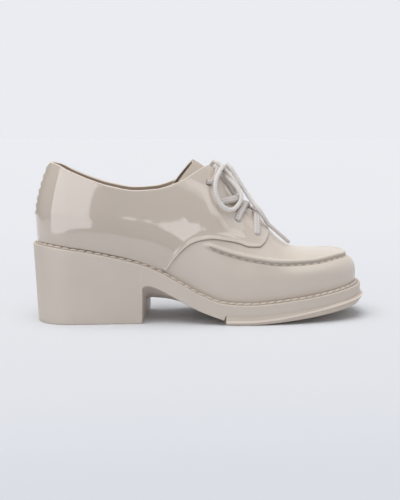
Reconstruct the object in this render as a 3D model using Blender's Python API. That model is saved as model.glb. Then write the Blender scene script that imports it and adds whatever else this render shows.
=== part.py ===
"""Lace-up shoe with an apron toe, for the right foot: a moulded upper on a block-heel sole.

Lengths are in millimetres until a mesh is made. x runs from the back of the heel rim to the toe,
y from the outer side of the foot (negative) to the inner side (positive), and z up from the floor.
Every form is read along columns: a column is a ray from a point on the shoe's middle line out to
the rim of the sole, and a section gives a form's radius and height along that ray.
"""

import math
from collections import namedtuple

import bmesh
import bpy
import numpy as np
from mathutils import Vector

MM = 0.001
GAP = 0.3
SEAT_GAP = 0.45
WELD = 0.002

# Plan of the sole's rim
RIM_LENGTH = 261.0
HEEL_X = 33.0
BALL_X = 180.0
TOE_PIVOT = 214.0
HEEL_POWER = 2.3
TOE_POWER = 2.6
SWING = 5.0
SWING_X = 130.0

# Rim, side wall and underside of the sole
LEDGE = 4.6
LEDGE_RISE = 2.0
LIP_WIDTH = 1.6
LIP_DEPTH = 0.5
EDGE_ROUND = 0.8
HEEL_TAPER = 2.6
BREAST_X = 87.6
BREAST_SKEW = 4.4
BREAST_REACH = 30.0
TREAD_X = 147.6
TREAD_THICKNESS = 7.0
FLAT_END = 164.0
SPRING = 12.0
SPRING_POWER = 1.4
SIDE_FLARE = 0.9
TOE_FLARE = 2.9
LIP_DROP = 1.3
BEVEL_HEIGHT = 1.6
SIDE_BEVEL = 1.2
TOE_BEVEL = 3.6

# Upper, tongue and insole
CROWN_EASE = 0.3
WALL = 1.6
QUARTER_STEP = 1.4
QUARTER_BACK = 100.0
QUARTER_FRONT = 187.0
FLAP_TOP = 141.0
THROAT_BASE = 181.0
THROAT_ROUND = 8.0
THROAT_TOP_GAP = 10.5
THROAT_FRONT_GAP = 7.5
THROAT_EDGE = 0.6
STEP_RUN = 0.35
RIDGE_HEIGHT = 1.2
RIDGE_BACK = 128.0
RIDGE_FADE = 12.0
GROOVE_DEPTH = 0.9
GROOVE_RUN = 2.2
RIDGE_RUN = 2.0
EYELET_DIAMETER = 5.0
HOLE_REACH = 15.0
TONGUE_THICKNESS = 1.8
TONGUE_HALF = 21.5
TONGUE_FRONT = 190.0
TONGUE_TOP = 126.2
TONGUE_CORNERS = {-1: 112.5, 1: 106.0}
TONGUE_END_POWERS = {-1: 2.95, 1: 2.2}
INSOLE_THICKNESS = 2.4
INSOLE_CLEAR = 0.7

# Lace
LACE_DIAMETER = 3.4
LACE_CLEAR = 0.8
LACE_TUCK = 2.0
FLAP_MIDDLE = 7.5
AGLET_DIAMETER = 3.0
KNOT_SIZE = (8.0, 7.0, 9.0)

Table = namedtuple("Table", "columns rows")

# Half widths of the rim on the two sides of the middle line
PLAN = Table("x lateral medial", (
    (33, 31.0, 31.0),
    (60, 31.6, 30.6),
    (90, 32.4, 28.6),
    (120, 36.6, 30.6),
    (150, 42.0, 37.4),
    (180, 44.0, 43.0),
))

# Height of the rim over the forefoot's own curve, and the wall of the upper above it
PROFILE = Table("x rim bulge rise power", (
    (0, 61.0, 0.9, 22.0, 1.40),
    (33, 57.2, 1.4, 24.0, 1.40),
    (60, 52.0, 2.0, 24.0, 1.40),
    (85, 45.4, 2.4, 24.0, 1.42),
    (100, 38.8, 3.0, 23.0, 1.42),
    (115, 30.4, 3.0, 23.0, 1.42),
    (130, 22.2, 3.0, 22.0, 1.42),
    (145, 16.8, 2.8, 21.0, 1.42),
    (160, 15.4, 2.6, 18.0, 1.52),
    (175, 15.2, 2.6, 16.0, 1.68),
    (195, 15.2, 2.4, 13.0, 2.00),
    (214, 15.2, 1.8, 10.0, 2.40),
    (261, 15.2, 0.4, 5.0, 2.80),
))

# Crown of the closed form along the middle line
CROWN = Table("x height", (
    (33, 142.0),
    (60, 146.0),
    (85, 149.0),
    (105, 142.0),
    (118, 136.0),
    (133, 128.0),
    (141, 120.5),
    (147, 111.0),
    (153, 101.6),
    (161, 92.6),
    (167, 88.0),
    (172, 84.2),
    (178, 78.6),
    (184, 72.2),
    (189, 66.4),
    (195, 61.0),
    (204, 56.0),
    (214, 54.2),
))

# Collar edge, from the back of the heel to the top of the lacing
COLLAR = Table("x height", (
    (10, 124.0),
    (20, 122.0),
    (30, 116.9),
    (45, 110.4),
    (60, 105.6),
    (80, 102.3),
    (95, 103.2),
    (114, 109.0),
    (133, 119.3),
    (141, 121.6),
))

# Lower and front edge of the quarter over the vamp
QUARTER_EDGE = Table("x height", (
    (100, 40.0),
    (107, 49.0),
    (113, 56.0),
    (120, 61.8),
    (128, 64.7),
    (137, 65.8),
    (147, 64.5),
    (157, 62.3),
    (166, 59.4),
    (173, 59.1),
    (178, 61.8),
    (182, 66.5),
    (187, 76.0),
))

# Ridge of the apron seam
RIDGE = Table("x height", (
    (128, 62.2),
    (136, 60.4),
    (147, 56.7),
    (161, 52.6),
    (174, 50.0),
    (185, 48.2),
    (197, 47.1),
    (206, 46.8),
    (218, 47.2),
    (232, 48.4),
    (246, 49.4),
    (261, 49.8),
))

# Underside of the waist: at the side wall and along the middle
WAIST = Table("x edge belly", (
    (88, 29.6, 15.4),
    (103, 23.6, 14.4),
    (116, 16.2, 11.6),
    (129, 9.9, 8.0),
    (140, 5.8, 5.2),
    (148, 3.6, 3.6),
))

# How far the tongue's middle lies below the closed form, besides the wall
TONGUE_SINK = Table("x depth", (
    (128, 5.6),
    (141, 5.2),
    (155, 6.2),
    (176, 6.0),
    (188, 0.0),
))

# Lace holes on each side, from the top pair to the front pair
EYELETS = Table("x height", (
    (135.7, 108.4),
    (145.2, 93.8),
    (157.7, 80.6),
    (172.2, 70.1),
))

# How far forward of its hole each lace crosses its own flap's edge and ends under the other flap
CROSSINGS = Table("pair edge tuck", (
    (1, 16.5, 19.5),
    (2, 9.0, 14.0),
))

# How far forward of its holes each straight lace crosses the flap edges
BARS = Table("pair edge", (
    (0, 7.0),
    (3, 3.0),
))

# Sections along the straight part of each form: start, end and number of steps
UPPER_STATIONS = Table("start end steps", (
    (33, 97, 7),
    (97, 125, 5),
    (125, 153, 9),
    (153, 181, 7),
    (181, 189, 3),
    (189, 214, 4),
))
SOLE_STATIONS = Table("start end steps", (
    (33, 87.6, 7),
    (89.2, 146.5, 11),
    (147.3, 214, 10),
))
TREAD_STATIONS = Table("start end steps", (
    (147.6, 214, 10),
))
INSOLE_STATIONS = Table("start end steps", (
    (33, 214, 15),
))
HEEL_FAN = 8
TOE_FAN = 10

# Faces between the upper's lines, up its outside and down its inside, and faces of the small parts
UPPER_ROWS = (3, 1, 1, 1, 1, 4, 1, 1)
INSIDE_ROWS = 6
TONGUE_LENGTHWISE = 16
TONGUE_ACROSS = 6
HOLE_SIDES = 12
KNOT_SIDES = 14
KNOT_RINGS = 8
CORD_ROUND = 2
SHARP_ANGLE = 35.0

# Where the upper's lines lie beside its features: shares of a length, and the run to reach them
QUARTER_FOOT = 1.5
HEEL_ROW = 0.42
HEEL_ROW_RUN = 50.0
SIDE_ROWS = (0.4, 0.6, 0.8)
UNDER_ROWS = (0.7, 0.35, 0.0)
VAMP_ROW = 0.2
VAMP_ROW_RUN = 18.0

# Points worked out along a rim, a section and a cord
RIM_POINTS = 400
SECTION_POINTS = 140
CORD_POINTS = 12
NEIGHBOUR = 1.0
TINY = 1e-6
MOST_STRETCH = 2.0

# Route of the bow, in the shoe's own millimetres: each row is one point
LOOP_NEAR = (
    (148.6, -6.4, 119.6),
    (144.8, -19.4, 117.4),
    (140.6, -27.0, 109.8),
    (140.2, -30.0, 100.6),
    (143.0, -30.8, 93.2),
    (148.4, -30.4, 88.2),
    (154.2, -26.5, 87.6),
    (159.0, -21.4, 91.2),
    (161.2, -18.6, 96.2),
    (159.6, -15.8, 101.2),
    (155.6, -11.8, 106.4),
    (150.6, -6.8, 111.6),
)
LOOP_FAR = (
    (146.8, 5.4, 120.8),
    (143.0, 14.0, 122.2),
    (140.0, 22.6, 114.0),
    (140.6, 26.6, 101.0),
    (145.0, 28.8, 91.6),
    (151.4, 27.8, 87.2),
    (158.4, 25.4, 90.2),
    (161.6, 18.4, 97.6),
    (157.8, 11.4, 105.0),
    (151.6, 6.0, 111.8),
)
END_NEAR = (
    (152.4, -3.8, 120.6),
    (155.0, -6.6, 117.4),
    (159.0, -8.4, 110.6),
    (165.2, -10.4, 100.8),
    (170.8, -14.8, 91.8),
    (175.4, -17.8, 86.2),
    (179.6, -17.4, 79.8),
    (183.2, -15.8, 74.6),
)
END_FAR = (
    (150.8, 4.2, 119.6),
    (154.8, 12.0, 113.2),
    (159.0, 20.8, 103.4),
    (162.8, 27.4, 92.4),
    (167.0, 31.6, 81.4),
    (171.6, 34.2, 71.4),
    (176.4, 35.6, 63.8),
)
AGLET_TIP_NEAR = (201.0, -9.6, 59.5)
AGLET_TIP_FAR = (188.6, 39.6, 50.0)

Column = namedtuple("Column", "pivot x dx dy rim")
Section = namedtuple("Section", "column ell r z nr nz")
Finish = namedtuple("Finish", "color roughness")

PLASTIC_GLOSS = Finish((0.57, 0.52, 0.46), 0.12)
PLASTIC_SATIN = Finish((0.55, 0.50, 0.44), 0.40)
SHEET = Finish((0.54, 0.49, 0.43), 0.45)
CORD = Finish((0.62, 0.57, 0.53), 0.80)
TIP = Finish((0.66, 0.61, 0.56), 0.25)


def flat_end_cubic(xs, ys, x):
    """Monotone cubic through the points (xs, ys), with level ends."""
    xs = np.asarray(xs, float)
    ys = np.asarray(ys, float)
    step = np.diff(xs)
    secant = np.diff(ys) / step
    slope = np.zeros(len(xs))
    for i in range(1, len(xs) - 1):
        if secant[i - 1] * secant[i] > 0:
            before = 2 * step[i] + step[i - 1]
            after = step[i] + 2 * step[i - 1]
            slope[i] = (before + after) / (before / secant[i - 1] + after / secant[i])
    x = np.clip(x, xs[0], xs[-1])
    i = np.clip(np.searchsorted(xs, x) - 1, 0, len(step) - 1)
    t = (x - xs[i]) / step[i]
    rise = ys[i] * (1 + 2 * t) * (1 - t) ** 2 + ys[i + 1] * t * t * (3 - 2 * t)
    return rise + step[i] * (slope[i] * t * (1 - t) ** 2 - slope[i + 1] * t * t * (1 - t))


def read(table, column, x):
    """Value of a table's column at x."""
    names = table.columns.split()
    place = names.index(column)
    return flat_end_cubic([row[0] for row in table.rows], [row[place] for row in table.rows], x)


def smooth(t):
    """Soft step from 0 to 1."""
    t = min(max(t, 0.0), 1.0)
    return t * t * (3 - 2 * t)


def mix(a, b, t):
    return a + (b - a) * t


def round_end(t, power):
    """Half width, as a share, at the share t of the way to a superellipse's end."""
    return np.maximum(0.0, 1 - np.clip(t, 0, 1) ** power) ** (1 / power)


def half_width(side, x):
    """Half width of the rim at x, on the lateral (-1) or medial (1) side."""
    name = "lateral" if side < 0 else "medial"
    heel = round_end((HEEL_X - x) / HEEL_X, HEEL_POWER)
    toe = round_end((x - BALL_X) / (RIM_LENGTH - BALL_X), TOE_POWER)
    return read(PLAN, name, x) * heel * toe


def swing(x):
    """Sideways bend of the whole shoe towards the big toe."""
    return SWING * max(0.0, (x - SWING_X) / (RIM_LENGTH - SWING_X)) ** 2


def spring(x):
    """Rise of the forefoot's underside over the floor."""
    return SPRING * max(0.0, (x - FLAT_END) / (RIM_LENGTH - FLAT_END)) ** SPRING_POWER


def rim_z(x):
    return read(PROFILE, "rim", x) + spring(x)


def feather_z(x):
    """Height of the upper's lower edge."""
    return rim_z(x) + LEDGE_RISE


def column_to(pivot, x, y):
    """Column from the middle line at pivot to the rim point (x, y)."""
    rim = math.hypot(x - pivot, y)
    return Column(pivot, x, (x - pivot) / rim, y / rim, rim)


def fan(pivot, end, side, count):
    """Columns that fan out from a pivot, from the tip of the end round to the side."""
    x = pivot + (end - pivot) * np.sin(np.linspace(0, math.pi / 2, RIM_POINTS))
    y = half_width(side, x)
    angle = np.arctan2(y, np.abs(x - pivot))[::-1]
    radius = np.hypot(y, x - pivot)[::-1]
    ahead = math.copysign(1, end - pivot)
    columns = []
    for k in range(count):
        a = math.pi / 2 * k / count
        rim = np.interp(a, angle, radius)
        columns.append(column_to(pivot, pivot + ahead * rim * math.cos(a), side * rim * math.sin(a)))
    return columns


def station_x(table):
    """Places of the sections of a table of stations, each once."""
    places = []
    for start, end, steps in table.rows:
        places += [start + (end - start) * k / steps for k in range(steps + 1)]
    return sorted(set(places))


def straight(side, x, skew=0.0):
    """Column across the shoe at x, turned so that its rim point lies skew further on."""
    reach = x + side * skew
    return column_to(x, reach, side * half_width(side, reach))


def half_loop(side, stations, skew=None):
    """Columns of one side, from the heel's back to the toe's tip, tips included."""
    turn = skew or (lambda x: 0.0)
    heel = fan(HEEL_X, 0.0, side, HEEL_FAN)
    toe = fan(TOE_PIVOT, RIM_LENGTH, side, TOE_FAN)
    return heel + [straight(side, x, turn(x)) for x in station_x(stations)] + toe[::-1]


def full_loop(stations, skew=None):
    """Columns round the whole shoe: lateral side forwards, then medial side back."""
    lateral = half_loop(-1, stations, skew)
    medial = half_loop(1, stations, skew)
    return lateral + medial[-2:0:-1]


def to_xyz(column, r, z):
    x = column.pivot + column.dx * r
    return (x, column.dy * r + swing(x), z)


def crown_round(across, power):
    """Widens a superellipse near its crown, so that a low power gives a round ridge, not a sharp one."""
    ease = max(CROWN_EASE * (2 - power), TINY)
    span = math.sqrt(1 + ease * ease) - ease
    return np.sqrt((across * span + ease) ** 2 - ease * ease)


def half_section(column):
    """Outside of the closed form along a column, from the feather edge to the crown."""
    feather = column.rim - LEDGE
    bulge = feather + read(PROFILE, "bulge", column.x)
    low = feather_z(column.x)
    middle = low + read(PROFILE, "rise", column.x)
    crown = read(CROWN, "height", column.pivot)
    power = read(PROFILE, "power", column.x)
    share = np.linspace(0, 1, SECTION_POINTS)
    angle = np.linspace(0, math.pi / 2, SECTION_POINTS)[1:]
    across = crown_round(np.append(np.cos(angle[:-1]), 0.0) ** (2 / power), power)
    r = np.concatenate([bulge - (bulge - feather) * (1 - share) ** 2, bulge * across])
    z = np.concatenate([mix(low, middle, share), mix(middle, crown, np.sin(angle) ** (2 / power))])
    length = np.concatenate([[0.0], np.cumsum(np.hypot(np.diff(r), np.diff(z)))])
    ell = np.linspace(0, length[-1], SECTION_POINTS)
    r = np.interp(ell, length, r)
    z = np.interp(ell, length, z)
    return Section(column, ell, r, z, np.gradient(z, ell), -np.gradient(r, ell))


def true_normals(before, here, after):
    """Section whose in-plane normals are stretched so that an offset is a true thickness."""
    def points(section):
        c = section.column
        return np.stack([c.pivot + c.dx * section.r, c.dy * section.r, section.z], axis=1)

    along = points(after) - points(before)
    c = here.column
    tangent_r = -here.nz
    tangent = np.stack([c.dx * tangent_r, c.dy * tangent_r, here.nr], axis=1)
    normal = np.cross(along, tangent)
    size = np.linalg.norm(normal, axis=1)
    normal = normal / np.maximum(size, TINY)[:, None]
    inside = np.hypot(normal[:, 0] * c.dx + normal[:, 1] * c.dy, normal[:, 2])
    stretch = np.where(size > TINY, np.minimum(1 / np.maximum(inside, TINY), MOST_STRETCH), 1.0)
    return here._replace(nr=here.nr * stretch, nz=here.nz * stretch)


def sections_round(columns):
    """Sections of the closed form along a closed loop of columns."""
    plain = [half_section(c) for c in columns]
    count = len(plain)
    return [true_normals(plain[i - 1], plain[i], plain[(i + 1) % count]) for i in range(count)]


def section_at(side, x):
    """Section of the closed form straight across the shoe at any x."""
    before, here, after = (half_section(straight(side, x + d)) for d in (-NEIGHBOUR, 0.0, NEIGHBOUR))
    return true_normals(before, here, after)


def ell_at_z(section, z):
    return float(np.interp(z, section.z, section.ell))


def ell_at_r(section, r):
    """Length along the section to where it comes in to the radius r on its upper part."""
    top = int(np.argmax(section.r))
    return float(np.interp(-r, -section.r[top:], section.ell[top:]))


def on_section(section, ell, offset):
    """Radius and height at a length along the section, moved out by offset."""
    r, z, nr, nz = (np.interp(ell, section.ell, row) for row in section[2:])
    return max(0.0, r + offset * nr), z + offset * nz


def on_form(side, x, r, offset):
    """Point over the closed form at x and at the radius r from the middle line."""
    section = section_at(side, x)
    return to_xyz(section.column, *on_section(section, ell_at_r(section, r), offset))


def throat_half(x):
    """Half width between the two lacing flaps."""
    return mix(THROAT_TOP_GAP, THROAT_FRONT_GAP, (x - FLAP_TOP) / (QUARTER_FRONT - FLAP_TOP))


def opening_half(x):
    """Half width of the throat's opening, which ends in a round at its base."""
    wide = throat_half(x) - THROAT_EDGE
    run = min(max((x - THROAT_BASE + THROAT_ROUND) / THROAT_ROUND, 0.0), 1.0)
    return wide * math.sqrt(1 - run * run)


def edge_ell(section):
    """Length along the section to the collar, the throat or, in front of it, the crown."""
    c = section.column
    if c.pivot > FLAP_TOP:
        return ell_at_r(section, opening_half(c.pivot)) if c.pivot < THROAT_BASE else section.ell[-1]
    over = section.z - read(COLLAR, "height", c.pivot + c.dx * section.r)
    first = int(np.argmax(over > 0)) if over.max() > 0 else len(over) - 1
    if first == 0:
        return section.ell[-1]
    share = -over[first - 1] / (over[first] - over[first - 1])
    collar = mix(section.ell[first - 1], section.ell[first], share)
    return min(collar, ell_at_r(section, THROAT_TOP_GAP))


def upper_anchors(section):
    """Lengths along the section to the upper's own lines, and how far each stands proud.

    From the feather edge: groove, ridge and inside of the apron seam, foot and top of the quarter's
    edge, top and foot of the flap's edge at the throat, and the edge of the opening or the crown.
    """
    x = section.column.x
    end = edge_ell(section)
    behind = section.column.pivot <= FLAP_TOP
    flap = end - 2 * STEP_RUN if behind else ell_at_r(section, throat_half(min(x, QUARTER_FRONT)))
    flap_top = flap - STEP_RUN
    if x <= QUARTER_BACK:
        foot = mix(QUARTER_FOOT, HEEL_ROW * end, smooth((QUARTER_BACK - x) / HEEL_ROW_RUN))
    else:
        edge = ell_at_z(section, read(QUARTER_EDGE, "height", x))
        foot = max(QUARTER_FOOT, min(edge, flap - 3 * STEP_RUN))
    foot_top = foot + STEP_RUN
    crest = ell_at_z(section, read(RIDGE, "height", x))
    apron = smooth((x - RIDGE_BACK) / RIDGE_FADE)
    seam = (crest - GROOVE_RUN, crest, crest + RIDGE_RUN)
    ridge = [mix(share * foot, place, apron) for share, place in zip(SIDE_ROWS, seam)]
    if x > QUARTER_FRONT:
        spread = smooth((x - QUARTER_FRONT) / VAMP_ROW_RUN) * VAMP_ROW * (flap - ridge[-1])
        flap_top = flap - STEP_RUN - spread
        foot_top = flap_top - STEP_RUN - spread
        foot = foot_top - STEP_RUN - spread
    lengths = [0.0, *ridge, foot, foot_top, flap_top, flap, end]
    quarter = QUARTER_STEP if x < QUARTER_FRONT else 0.0
    low = QUARTER_STEP if x <= QUARTER_BACK else 0.0
    throat = QUARTER_STEP if behind else 0.0
    proud = [low, low - GROOVE_DEPTH * apron, low + RIDGE_HEIGHT * apron, low, low, quarter, quarter,
             throat, throat]
    return lengths, proud


def upper_profile(section):
    """Closed outline of the upper's wall along a section: up the outside, down the inside."""
    lengths, proud = upper_anchors(section)
    outside = [(lengths[0], proud[0])]
    for i, steps in enumerate(UPPER_ROWS):
        for k in range(1, steps + 1):
            share = k / steps
            outside.append((mix(lengths[i], lengths[i + 1], share), mix(proud[i], proud[i + 1], share)))
    inside = [(lengths[-1] * k / INSIDE_ROWS, -WALL) for k in range(INSIDE_ROWS, -1, -1)]
    outline = [on_section(section, ell, offset) for ell, offset in outside + inside]
    low = feather_z(section.column.x)
    outline[0] = (outline[0][0], low)
    outline[-1] = (outline[-1][0], low)
    return outline


def is_closed(section):
    """True where the upper runs over the middle line without an opening."""
    return section.column.pivot >= THROAT_BASE


def underside(column, r):
    """Height of the sole's underside, from the heel's seat on the floor to the forefoot."""
    x = column.pivot + column.dx * r
    if column.pivot <= BREAST_X:
        return 0.0
    if column.pivot < TREAD_X - 2 * GAP:
        share = smooth(1 - r / column.rim)
        return mix(read(WAIST, "edge", x), read(WAIST, "belly", x), share)
    return spring(x) + TREAD_THICKNESS + GAP


def sole_profile(column):
    """Outline of the sole along a column, from the middle of its top to the middle of its underside."""
    seat = column.rim - LEDGE
    rim = rim_z(column.x)
    top = rim + LEDGE_RISE - SEAT_GAP
    taper = HEEL_TAPER if column.pivot <= BREAST_X else EDGE_ROUND
    low = underside(column, column.rim)
    foot = column.rim - taper
    middle = rim_z(column.pivot) + LEDGE_RISE - SEAT_GAP
    outline = [
        (0.0, middle),
        (seat / 2, mix(middle, top, 0.5)),
        (seat + GAP, top),
        (column.rim - LIP_WIDTH - LIP_DEPTH, rim - LIP_DEPTH),
        (column.rim - LIP_WIDTH, rim),
        (column.rim - EDGE_ROUND / 2, rim),
        (column.rim, rim - EDGE_ROUND),
        (foot + EDGE_ROUND, low + EDGE_ROUND),
        (foot, low),
    ]
    return outline + [(share * column.rim, underside(column, share * column.rim)) for share in UNDER_ROWS]


def breast_skew(x):
    """Turn of the sections near the heel's front face, which runs further forward on the inner side."""
    return BREAST_SKEW * smooth(1 - abs(x - BREAST_X) / BREAST_REACH)


def tread_profile(column):
    """Outline of the tread piece along a column, from the middle of its top to that of its underside."""
    ahead = smooth((column.x - TOE_PIVOT) / (RIM_LENGTH - TOE_PIVOT))
    reach = column.rim + mix(SIDE_FLARE, TOE_FLARE, ahead)
    foot = reach - mix(SIDE_BEVEL, TOE_BEVEL, ahead)

    def low(r):
        return spring(column.pivot + column.dx * r)

    def top(r):
        return low(r) + TREAD_THICKNESS

    edge = column.rim - EDGE_ROUND
    return [
        (0.0, top(0.0)),
        (edge / 2, top(edge / 2)),
        (edge, top(edge)),
        (reach, top(edge) - LIP_DROP),
        (mix(reach, foot, 0.5), low(edge) + BEVEL_HEIGHT),
        (foot, low(foot)),
        (foot / 2, low(foot / 2)),
        (0.0, low(0.0)),
    ]


def insole_profile(column):
    """Outline of the insole along a column."""
    edge = column.rim - LEDGE - WALL - INSOLE_CLEAR
    low = feather_z(column.x) + GAP
    middle = feather_z(column.pivot) + GAP
    return [
        (0.0, middle + INSOLE_THICKNESS),
        (edge / 2, mix(low, middle, 0.5) + INSOLE_THICKNESS),
        (edge, low + INSOLE_THICKNESS),
        (edge, low),
        (edge / 2, mix(low, middle, 0.5)),
        (0.0, middle),
    ]


def make_material(name, finish):
    material = bpy.data.materials.new(name)
    material.use_nodes = True
    shader = material.node_tree.nodes["Principled BSDF"]
    shader.inputs["Base Color"].default_value = (*finish.color, 1.0)
    shader.inputs["Roughness"].default_value = finish.roughness
    shader.inputs["Metallic"].default_value = 0.0
    return material


def add_object(name, mesh, collection, finish):
    obj = bpy.data.objects.new(name, mesh)
    collection.objects.link(obj)
    mesh.materials.append(make_material(name, finish))
    return obj


def frame_shift():
    """Middle of the shoe's plan, which becomes the origin."""
    x = np.linspace(TREAD_X, RIM_LENGTH, RIM_POINTS)
    reach = [half_width(side, x) + SIDE_FLARE for side in (-1, 1)]
    bend = np.array([swing(v) for v in x])
    middle = (np.max(reach[1] + bend) + np.min(bend - reach[0])) / 2
    return Vector(((RIM_LENGTH + TOE_FLARE) / 2, middle, 0.0))


SHIFT = frame_shift()


def place(point):
    """Point of the shoe in metres, about the origin."""
    return (Vector(point) - SHIFT) * MM


def finish_mesh(name, bm):
    """Welds and orients a mesh, and shades its round parts smooth."""
    bmesh.ops.remove_doubles(bm, verts=bm.verts, dist=WELD * MM)
    bmesh.ops.dissolve_degenerate(bm, edges=bm.edges, dist=WELD * MM)
    bmesh.ops.recalc_face_normals(bm, faces=bm.faces)
    bmesh.ops.triangulate(bm, faces=bm.faces)
    mesh = bpy.data.meshes.new(name)
    bm.to_mesh(mesh)
    bm.free()
    mesh.shade_smooth()
    mesh.set_sharp_from_angle(angle=math.radians(SHARP_ANGLE))
    return mesh


def loft(name, outlines, round_shoe=True, ring=False, skip=None):
    """Mesh between neighbouring outlines of the same number of points.

    round_shoe joins the last outline to the first; otherwise the first and last are closed as faces.
    ring joins each outline's last point to its first. skip(i, j) leaves out a face.
    """
    bm = bmesh.new()
    rings = [[bm.verts.new(place(p)) for p in outline] for outline in outlines]
    count = len(rings)
    points = len(rings[0])
    for i in range(count if round_shoe else count - 1):
        here, there = rings[i], rings[(i + 1) % count]
        for j in range(points if ring else points - 1):
            if skip and skip(i, j):
                continue
            after = (j + 1) % points
            bm.faces.new((here[j], there[j], there[after], here[after]))
    if not round_shoe:
        bm.faces.new(rings[0])
        bm.faces.new(rings[-1])
    return finish_mesh(name, bm)


def column_points(column, profile):
    return [to_xyz(column, r, z) for r, z in profile]


def make_sole(collection):
    columns = full_loop(SOLE_STATIONS, breast_skew)
    mesh = loft("sole", [column_points(c, sole_profile(c)) for c in columns])
    return add_object("sole", mesh, collection, PLASTIC_SATIN)


def make_tread(collection):
    lateral, medial = (
        [straight(side, x) for x in station_x(TREAD_STATIONS)]
        + fan(TOE_PIVOT, RIM_LENGTH, side, TOE_FAN)[::-1] for side in (-1, 1))
    columns = lateral + medial[-2::-1]
    mesh = loft("outsole_forepart", [column_points(c, tread_profile(c)) for c in columns], round_shoe=False)
    return add_object("outsole_forepart", mesh, collection, PLASTIC_SATIN)


def make_insole(collection):
    columns = full_loop(INSOLE_STATIONS)
    mesh = loft("insole", [column_points(c, insole_profile(c)) for c in columns])
    return add_object("insole", mesh, collection, SHEET)


def eyelet_places():
    """Place, and outward direction, of each lace hole: lateral and medial of each pair in turn."""
    places = []
    for x, height in EYELETS.rows:
        for side in (-1, 1):
            section = section_at(side, x)
            ell = ell_at_z(section, height - QUARTER_STEP)
            base = Vector(to_xyz(section.column, *on_section(section, ell, 0.0)))
            proud = Vector(to_xyz(section.column, *on_section(section, ell, QUARTER_STEP)))
            places.append((proud, (proud - base).normalized()))
    return places


def make_eyelet_cutter(cutters):
    """All eight hole cutters as one object."""
    bm = bmesh.new()
    for point, normal in eyelet_places():
        turn = normal.to_track_quat("Z", "Y").to_matrix().to_4x4()
        turn.translation = place(point)
        bmesh.ops.create_cone(
            bm, cap_ends=True, segments=HOLE_SIDES, radius1=EYELET_DIAMETER / 2 * MM,
            radius2=EYELET_DIAMETER / 2 * MM, depth=HOLE_REACH * MM, matrix=turn)
    mesh = bpy.data.meshes.new("eyelet_cutter")
    bm.to_mesh(mesh)
    bm.free()
    cutter = bpy.data.objects.new("eyelet_cutter", mesh)
    cutters.objects.link(cutter)
    cutter.hide_render = True
    cutter.display_type = "WIRE"
    return cutter


def make_upper(collection, cutters):
    sections = sections_round(full_loop(UPPER_STATIONS))
    outlines = [column_points(s.column, upper_profile(s)) for s in sections]
    count = len(sections)
    rim_face = sum(UPPER_ROWS)

    def skip(i, j):
        return j == rim_face and is_closed(sections[i]) and is_closed(sections[(i + 1) % count])

    mesh = loft("upper", outlines, ring=True, skip=skip)
    upper = add_object("upper", mesh, collection, PLASTIC_GLOSS)
    holes = upper.modifiers.new("lace_holes", "BOOLEAN")
    holes.operation = "DIFFERENCE"
    holes.object = make_eyelet_cutter(cutters)
    return upper


def tongue_row(share, depth):
    """Points across the tongue, from its lateral to its medial edge, at a share of its length."""
    row = []
    for k in range(-TONGUE_ACROSS, TONGUE_ACROSS + 1):
        across = abs(k) / TONGUE_ACROSS
        side = -1 if k < 0 else 1
        top = mix(TONGUE_TOP, TONGUE_CORNERS[side], across ** TONGUE_END_POWERS[side])
        x = mix(TONGUE_FRONT, top, share)
        section = section_at(side, x)
        sink = WALL + GAP + depth + read(TONGUE_SINK, "depth", x) * (1 - across ** 2)
        ell = ell_at_r(section, TONGUE_HALF * across)
        row.append(to_xyz(section.column, *on_section(section, ell, -sink)))
    return row


def make_tongue(collection):
    """Curved sheet under the lacing, cut square to the instep at its top."""
    outlines = []
    for k in range(TONGUE_LENGTHWISE + 1):
        share = k / TONGUE_LENGTHWISE
        outlines.append(tongue_row(share, 0.0) + tongue_row(share, TONGUE_THICKNESS)[::-1])
    mesh = loft("tongue", outlines, round_shoe=False, ring=True)
    return add_object("tongue", mesh, collection, PLASTIC_SATIN)


def through(points, spacing):
    """Points every spacing along a smooth curve through the route's points."""
    p = [Vector(q) for q in points]
    p = [2 * p[0] - p[1], *p, 2 * p[-1] - p[-2]]
    dense = []
    for a, b, c, d in zip(p, p[1:], p[2:], p[3:]):
        for k in range(CORD_POINTS):
            t = k / CORD_POINTS
            dense.append(0.5 * (2 * b + (c - a) * t + (2 * a - 5 * b + 4 * c - d) * t ** 2
                                + (3 * b - a - 3 * c + d) * t ** 3))
    dense.append(p[-2])
    length = np.concatenate([[0], np.cumsum([(b - a).length for a, b in zip(dense, dense[1:])])])
    places = np.linspace(0, length[-1], max(2, round(length[-1] / spacing) + 1))
    axes = [np.interp(places, length, [v[axis] for v in dense]) for axis in range(3)]
    return [Vector(q) for q in zip(*axes)]


def cord_curve(name, points, diameter):
    """Round cord along a route, as a curve object."""
    curve = bpy.data.curves.new(name, "CURVE")
    curve.dimensions = "3D"
    curve.bevel_depth = diameter / 2 * MM
    curve.bevel_resolution = CORD_ROUND
    curve.use_fill_caps = True
    spline = curve.splines.new("POLY")
    route = through(points, 2 * diameter)
    spline.points.add(len(route) - 1)
    for target, point in zip(spline.points, route):
        target.co = (*place(point), 1.0)
    return bpy.data.objects.new(name, curve)


def add_cord(name, points, diameter, collection, finish):
    obj = cord_curve(name, points, diameter)
    collection.objects.link(obj)
    obj.data.materials.append(make_material(name, finish))
    return obj


def aglet_route(lace, tip):
    """Straight route from just past a lace's end to its tip."""
    end = Vector(lace[-1])
    way = Vector(tip) - end
    return [end + 2 * GAP * way.normalized(), end + way]


def curve_to_mesh(obj):
    """Closed mesh of a curve object, which is removed."""
    bpy.context.view_layer.update()
    evaluated = obj.evaluated_get(bpy.context.evaluated_depsgraph_get())
    mesh = bpy.data.meshes.new_from_object(evaluated)
    bm = bmesh.new()
    bm.from_mesh(mesh)
    bmesh.ops.remove_doubles(bm, verts=bm.verts, dist=WELD * MM)
    bm.to_mesh(mesh)
    bm.free()
    bpy.data.objects.remove(obj)
    return mesh


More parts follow.
